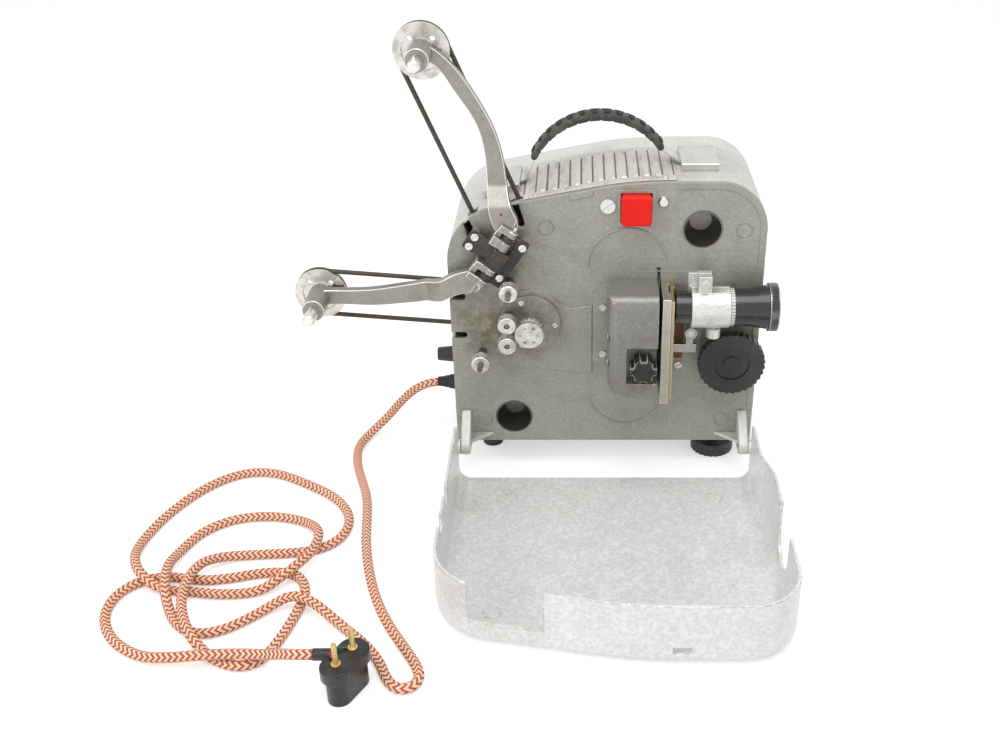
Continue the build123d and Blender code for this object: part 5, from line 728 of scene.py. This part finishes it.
# Lamp house: a folded steel hood in darker hammer paint over the lamp, with the gate's steel plate
# and the sprung pressure plate at its open side. Two half-round bulges clear the base's left screws.
hood_paint = hammered("hood_paint", (0.20, 0.20, 0.18, 1), (0.32, 0.32, 0.295, 1), 0.36, dust_share=0.3,
                      stains=[((22, -45, 75), 30, 20), ((44, -40, 117), 34, 22)], stain_share=0.4,
                      metal=0.35, wear=0.45)
dressed("lamp_house", hood_paint, 0.6)
worn_steel = grained("worn_gate_steel", (0.42, 0.39, 0.33, 1), (0.62, 0.58, 0.50, 1), 0.34, 0.85, scale=240.0)
dressed("gate_plate", worn_steel, 0.4)
worn_brass = grained("worn_brass", (0.42, 0.33, 0.17, 1), (0.60, 0.49, 0.29, 1), 0.36, 0.9,
                     bare=(0.80, 0.68, 0.42, 1))
dressed("pressure_plate", worn_brass, 0.3)
BULGE_X, BULGE_Y = 1.9, -36.0
BULGE_RADIUS = 0.0052
BULGE_SCALE = Matrix.Diagonal((0.55, 1, 0.8, 1))
for height in (104.0, 128.0):
    shape = bmesh.new()
    bmesh.ops.create_uvsphere(shape, u_segments=28, v_segments=16, radius=BULGE_RADIUS)
    bmesh.ops.bisect_plane(shape, geom=shape.verts[:] + shape.edges[:] + shape.faces[:], plane_co=(0, 0, 0),
                           plane_no=(1, 0, 0), clear_outer=True)
    centre = Matrix.Translation(place(BULGE_X, BULGE_Y, height))
    bmesh.ops.transform(shape, matrix=centre @ BULGE_SCALE, verts=shape.verts)
    bulge = mesh_of("hood_bulge", shape)
    bulge.materials.append(hood_paint)
    link_piece("hood_bulge_%d" % height, bulge, "projector")
MOULDED_DARK, MOULDED_LIGHT = (0.014, 0.014, 0.014, 1), (0.028, 0.027, 0.026, 1)
black_knob = grained("moulded_black", MOULDED_DARK, MOULDED_LIGHT, 0.30, 0.0, scale=700.0, wear=0.35,
                     bare=(0.16, 0.15, 0.14, 1), dust_share=0.1, bump=0.12)
star_finish = grained("star_knob_black", MOULDED_DARK, MOULDED_LIGHT, 0.28, 0.0, scale=700.0, wear=0.85,
                      bare=(0.55, 0.54, 0.51, 1), dust_share=0.1, bump=0.1)
dressed("star_knob", star_finish, 0.35, 45.0)


# Lens: a black tube with its glass, focused by sliding in a split alloy clamp. The front ring is
# knurled dark metal, with painted shade in its knurl's valleys and painted highlights along its
# rims, and the rear of the black mount carries a pale ring of engraved ticks.
knurl, inside, out = new_group(
    "knurling", [("Centre Y", "value", 0.0), ("Centre Z", "value", 0.0), ("Teeth", "value", 60.0)],
    [("Height", "value")])
spot = put(knurl, "ShaderNodeSeparateXYZ", {0: here(knurl)})
deep = maths(knurl, "SUBTRACT", spot.outputs[1], inside.outputs["Centre Y"])
high = maths(knurl, "SUBTRACT", spot.outputs[2], inside.outputs["Centre Z"])
angle = maths(knurl, "DIVIDE", maths(knurl, "ARCTAN2", high, deep), math.pi)
teeth = maths(knurl, "PINGPONG", maths(knurl, "MULTIPLY", angle, inside.outputs["Teeth"]), 1.0)
fill(knurl, out, {"Height": teeth})
LENS_AXIS = place(0, -21.5, 148)
TICK_BAND = (104.0, 107.6)
TICKS = 36.0
KNURL_BAND = (138.0, 143.4)
KNURLS = 90.0


def along(tree, low, high):
    """Is 1 between two places on the machine's X, in millimetres."""
    spot = put(tree, "ShaderNodeSeparateXYZ", {0: here(tree)}).outputs[0]
    over = maths(tree, "GREATER_THAN", spot, place(low, 0, 0).x)
    return maths(tree, "MULTIPLY", over, maths(tree, "LESS_THAN", spot, place(high, 0, 0).x))


mount, tree, shader = blank_finish("lens_mount")
dirty = dusty(tree, (0.012, 0.012, 0.013, 1), (0.09, 0.085, 0.08, 1), 0.35)
ticks = use_group(tree, knurl, {"Centre Y": LENS_AXIS.y, "Centre Z": LENS_AXIS.z, "Teeth": TICKS})
ink = spread(tree, ticks.outputs["Height"], 0.22, 0.12)
scale_ring = blend_colours(tree, ink, (0.72, 0.72, 0.68, 1), (0.03, 0.03, 0.03, 1))
band = along(tree, *TICK_BAND)
fill(tree, shader, {"Base Color": blend_colours(tree, band, dirty, scale_ring),
                    "Roughness": 0.24, "Coat Weight": 0.3,
                    "Normal": relief(tree, noise(tree, 300.0), 0.05, 0.0003)})
dressed("lens_barrel", mount, 0.35)
front_metal, tree, shader = blank_finish("knurled_front_ring")
diamond = use_group(tree, knurl, {"Centre Y": LENS_AXIS.y, "Centre Z": LENS_AXIS.z, "Teeth": KNURLS})
knurl_band = along(tree, *KNURL_BAND)
tooth = maths(tree, "MULTIPLY", diamond.outputs["Height"], knurl_band)
# Painted shade: the knurl's valleys are coloured darker than its teeth.
knurl_valley_shade = maths(tree, "MULTIPLY", maths(tree, "SUBTRACT", 1.0, diamond.outputs["Height"]), knurl_band)
# Painted highlight: pale patches along the ring's rounded rims, laid on with the edge mask.
ring_rim_highlight = rims_worn_and_highlit(tree, 0.95)
ring_tone = blend_colours(tree, knurl_valley_shade, (0.16, 0.16, 0.16, 1), (0.02, 0.02, 0.02, 1))
fill(tree, shader, {"Base Color": blend_colours(tree, ring_rim_highlight, ring_tone, (0.80, 0.80, 0.78, 1)),
                    "Metallic": 0.9, "Roughness": 0.24, "Normal": relief(tree, tooth, 0.9, 0.0008)})
dressed("lens_front_ring", front_metal, 0.35)
clamp_paint = hammered("clamp_paint", (0.62, 0.62, 0.60, 1), (0.90, 0.90, 0.87, 1), 0.38, size=620.0,
                       metal=0.45, wear=0.6, bare=(0.85, 0.84, 0.81, 1), bump=0.5, dust_share=0.3)
dressed("lens_holder", clamp_paint, 0.5)
coated_glass, tree, shader = blank_finish("coated_glass")
tint = blend_colours(tree, noise(tree, 30.0), (0.86, 0.92, 1.0, 1), (0.96, 0.93, 1.0, 1))
fill(tree, shader, {"Base Color": tint, "Roughness": maths(tree, "MULTIPLY", noise(tree, 90.0), 0.05)})
shader.inputs["Transmission Weight"].default_value = 1.0
shader.inputs["IOR"].default_value = 1.5
give(coated_glass, "lens_glass", "condenser")
lever_steel = grained("lever_steel", (0.34, 0.335, 0.32, 1), (0.60, 0.59, 0.56, 1), 0.32, 0.9, scale=260.0)
dressed("gate_lever", lever_steel, 0.3)
board, tree, shader = blank_finish("brown_board")
fibres = noise(tree, 480.0, 4.0)
fill(tree, shader, {"Base Color": blend_colours(tree, fibres, (0.12, 0.045, 0.018, 1), (0.24, 0.11, 0.05, 1)),
                    "Roughness": 0.6, "Normal": relief(tree, fibres, 0.2, 0.0003)})
give(board, "gate_strip")


# Hand knobs and switch: black moulded knobs that take dust in their scallops, and a glossy red
# switch cap in a frame in the plate's own paint.
dressed("inching_knob", black_knob, 0.35, 32.0)
dressed("speed_knob", black_knob, 0.3, 45.0)
dressed("switch_frame", plate_paint, 0.4)
red, tree, shader = blank_finish("red_moulding")
shade = noise(tree, 60.0, 4.0)
grease = spread(tree, noise(tree, 240.0, 5.0), 0.45, 0.75)
tone = blend_colours(tree, shade, (0.86, 0.006, 0.003, 1), (0.93, 0.016, 0.008, 1))
fill(tree, shader, {"Base Color": tone, "Specular IOR Level": 0.2,
                    "Roughness": maths(tree, "ADD", 0.22, maths(tree, "MULTIPLY", grease, 0.16)),
                    "Normal": relief(tree, shade, 0.03, 0.001)})
dressed("switch_cap", red, 0.5)


# Handle: a steel band in a black rubber grip, which is moulded as a row of links with a slot in
# each. Its two flat ends slide in bright pressed trays on the case's top.
STRAP_POINTS = [(-62.0, 256.0), (-6.0, 292.0), (47.5, 264.5)]
STRAP_Y = 52.0
STRAP_WIDTH = 23.0
LINKS = 13
GRIP_CELLS = 8
GRIP_ROWS = 10
GRIP_RISE = 2.6
GRIP_BASE = 0.4
NECK_SHARE = 0.14
NECK_DEPTH = 0.7
NECK_PINCH = 0.4
RIM_FROM = 0.8
RIM_DROP = 1.2
GRIP_TOP = 2.75
SLOT_REACH = 0.27
SLOT_HALF = 5.6
SLOT_LIP = 0.55
SLOT_BORDER = 0.22


def circle_through(first, middle, last):
    """The centre and radius of the circle through three points."""
    (ax, az), (bx, bz), (cx, cz) = first, middle, last
    twice = 2 * (ax * (bz - cz) + bx * (cz - az) + cx * (az - bz))
    a, b, c = ax * ax + az * az, bx * bx + bz * bz, cx * cx + cz * cz
    x = (a * (bz - cz) + b * (cz - az) + c * (az - bz)) / twice
    z = (a * (cx - bx) + b * (ax - cx) + c * (bx - ax)) / twice
    return x, z, math.hypot(ax - x, az - z)


strap_x, strap_z, strap_radius = circle_through(*STRAP_POINTS)
start_angle = math.atan2(STRAP_POINTS[0][1] - strap_z, STRAP_POINTS[0][0] - strap_x)
end_angle = math.atan2(STRAP_POINTS[2][1] - strap_z, STRAP_POINTS[2][0] - strap_x)


def bent(shape):
    """Bends a flat bar, drawn with its length from 0 to 1 in X, round the handle's arc."""
    for vert in shape.verts:
        share, side, rise = vert.co
        turn = start_angle + (end_angle - start_angle) * share
        vert.co = place(strap_x + (strap_radius + rise) * math.cos(turn), STRAP_Y + side,
                        strap_z + (strap_radius + rise) * math.sin(turn))


shape = bmesh.new()
bmesh.ops.create_grid(shape, x_segments=LINKS * GRIP_CELLS, y_segments=GRIP_ROWS, size=0.5)
for vert in shape.verts:
    across = vert.co.y * 2
    edge = max(0.0, abs(across) - RIM_FROM) / (1 - RIM_FROM)
    phase = (vert.co.x + 0.5) * LINKS % 1.0
    neck = max(0.0, 1 - abs(phase - (0 if phase < 0.5 else 1)) / NECK_SHARE)
    vert.co = Vector((vert.co.x + 0.5, across * (STRAP_WIDTH / 2 - NECK_PINCH * neck),
                      GRIP_RISE - NECK_DEPTH * neck - RIM_DROP * edge * edge))
underside = bmesh.ops.extrude_face_region(shape, geom=shape.faces[:])["geom"]
for vert in (piece for piece in underside if isinstance(piece, bmesh.types.BMVert)):
    vert.co.z = -vert.co.z - GRIP_BASE
bent(shape)
bmesh.ops.recalc_face_normals(shape, faces=shape.faces)
strap_rubber, tree, shader = blank_finish("handle_rubber")
fill(tree, shader, {"Base Color": dusty(tree, (0.030, 0.029, 0.027, 1), (0.24, 0.22, 0.19, 1), 0.55),
                    "Roughness": 0.62, "Normal": relief(tree, noise(tree, 380.0), 0.2, 0.0005)})
strap_mesh = mesh_of("handle_grip", shape, 50.0)
strap_mesh.materials.append(strap_rubber)
link_piece("handle_grip", strap_mesh, "projector", ["carry_handle"])
slot_dark, tree, shader = blank_finish("slot_shadow")
deep = blend_colours(tree, noise(tree, 300.0), (0.006, 0.006, 0.006, 1), (0.02, 0.018, 0.016, 1))
fill(tree, shader, {"Base Color": deep, "Roughness": 0.8})
for number in range(LINKS):
    shape = bmesh.new()
    bmesh.ops.create_circle(shape, cap_ends=True, segments=20, radius=1.0)
    lip = bmesh.ops.inset_region(shape, faces=shape.faces[:], thickness=SLOT_BORDER)["faces"]
    hollow = {vert for face in shape.faces if face not in lip for vert in face.verts}
    for vert in shape.verts:
        share = (number + 0.5 + vert.co.x * SLOT_REACH) / LINKS
        vert.co = Vector((share, vert.co.y * SLOT_HALF, GRIP_TOP + (SLOT_LIP if vert in hollow else 0)))
    bent(shape)
    link = mesh_of("grip_slot", shape, 60.0)
    link.materials.append(strap_rubber)
    link.materials.append(slot_dark)
    for face in link.polygons:
        face.material_index = 1 if len(face.vertices) > 4 else 0
    link_piece("grip_slot_%d" % number, link, "projector")
tray_steel = grained("tray_steel", (0.55, 0.545, 0.52, 1), (0.78, 0.775, 0.75, 1), 0.30, 0.95, scale=90.0,
                     dust_share=0.35, bump=0.08)
dressed("handle_fittings", tray_steel, 0.3)


# Vent: a thin steel plate with eleven pressed louvres over the lamp, brown with heat and rust in
# streaks, with painted shade in a dark band along each louvre's open side.
LOUVRES = 11
LOUVRE_PITCH = 9.6
LOUVRE_FRONT = 14.0
VENT_MIDDLE = -5.75
vent_steel_and_louvre_shade, tree, shader = blank_finish("heat_browned_steel_and_louvre_shade")
drawn_out = put(tree, "ShaderNodeMapping", {0: here(tree), 3: (6.0, 1.0, 1.0)}).outputs[0]
streaks = noise(tree, 42.0, 6.0, 0.65, drawn_out)
rust = spread(tree, streaks, 0.50, 0.80)
# Painted shade: a near-black band along the open side of each louvre, where its gap falls into shade.
spot = put(tree, "ShaderNodeSeparateXYZ", {0: here(tree)})
first = place(VENT_MIDDLE - LOUVRES * LOUVRE_PITCH / 2, LOUVRE_FRONT, 0)
past_first = maths(tree, "SUBTRACT", spot.outputs[0], first.x)
phase = maths(tree, "FRACT", maths(tree, "DIVIDE", past_first, LOUVRE_PITCH / 1000))
within = maths(tree, "GREATER_THAN", spot.outputs[1], first.y)
gap_shade = maths(tree, "MULTIPLY", spread(tree, phase, 0.80, 0.92), within)
steel_tone = blend_colours(tree, noise(tree, 300.0, 4.0), (0.56, 0.54, 0.48, 1), (0.78, 0.76, 0.70, 1))
rusty = blend_colours(tree, maths(tree, "MULTIPLY", rust, 0.6), steel_tone, (0.27, 0.19, 0.11, 1))
shaded = blend_colours(tree, maths(tree, "MULTIPLY", gap_shade, 0.85), rusty, (0.03, 0.025, 0.02, 1))
fill(tree, shader, {"Base Color": shaded,
                    "Metallic": maths(tree, "SUBTRACT", 0.55, maths(tree, "MULTIPLY", rust, 0.4)),
                    "Roughness": maths(tree, "ADD", 0.36, maths(tree, "MULTIPLY", rust, 0.3)),
                    "Normal": relief(tree, streaks, 0.1, 0.0005)})
dressed("vent_plate", vent_steel_and_louvre_shade, 0.35)


# Feet: three plain rubber feet. The fourth, at the front right, is a black knurled foot that screws up
# and down to raise the picture.
give(rubber, "rubber_feet")
dressed("elevating_foot", black_knob, 0.3, 45.0)


# Inside: the motor, its shaft, the cross shaft with its pinions and the bearing frame, the lamp in
# its holder with the mirror, and the speed control. They show through the louvres and the gate.
gear_steel = grained("gear_steel", (0.30, 0.29, 0.27, 1), (0.50, 0.49, 0.46, 1), 0.35, 0.95, scale=350.0)
give(gear_steel, "bearing_frame", "cross_shaft", "motor_shaft")
motor_iron = grained("motor_iron", (0.05, 0.055, 0.055, 1), (0.11, 0.115, 0.11, 1), 0.5, 0.5, scale=260.0)
give(motor_iron, "drive_motor", "speed_rheostat")
give(rubber, "drive_belt", "cord_gland")
give(black_cast, "shutter")
give(tray_steel, "lamp_socket")
mirror_silver, tree, shader = blank_finish("mirror_silver")
silver = blend_colours(tree, noise(tree, 80.0), (0.90, 0.90, 0.88, 1), (0.82, 0.81, 0.78, 1))
fill(tree, shader, {"Base Color": silver, "Metallic": 1.0,
                    "Roughness": maths(tree, "MULTIPLY", noise(tree, 120.0), 0.14)})
give(mirror_silver, "lamp_mirror")
bulb, tree, shader = blank_finish("bulb_glass")
smoky = blend_colours(tree, noise(tree, 40.0), (0.97, 0.97, 0.95, 1), (0.88, 0.86, 0.80, 1))
fill(tree, shader, {"Base Color": smoky, "Roughness": maths(tree, "MULTIPLY", noise(tree, 90.0), 0.1)})
shader.inputs["Transmission Weight"].default_value = 1.0
shader.inputs["IOR"].default_value = 1.45
give(bulb, "projection_lamp")
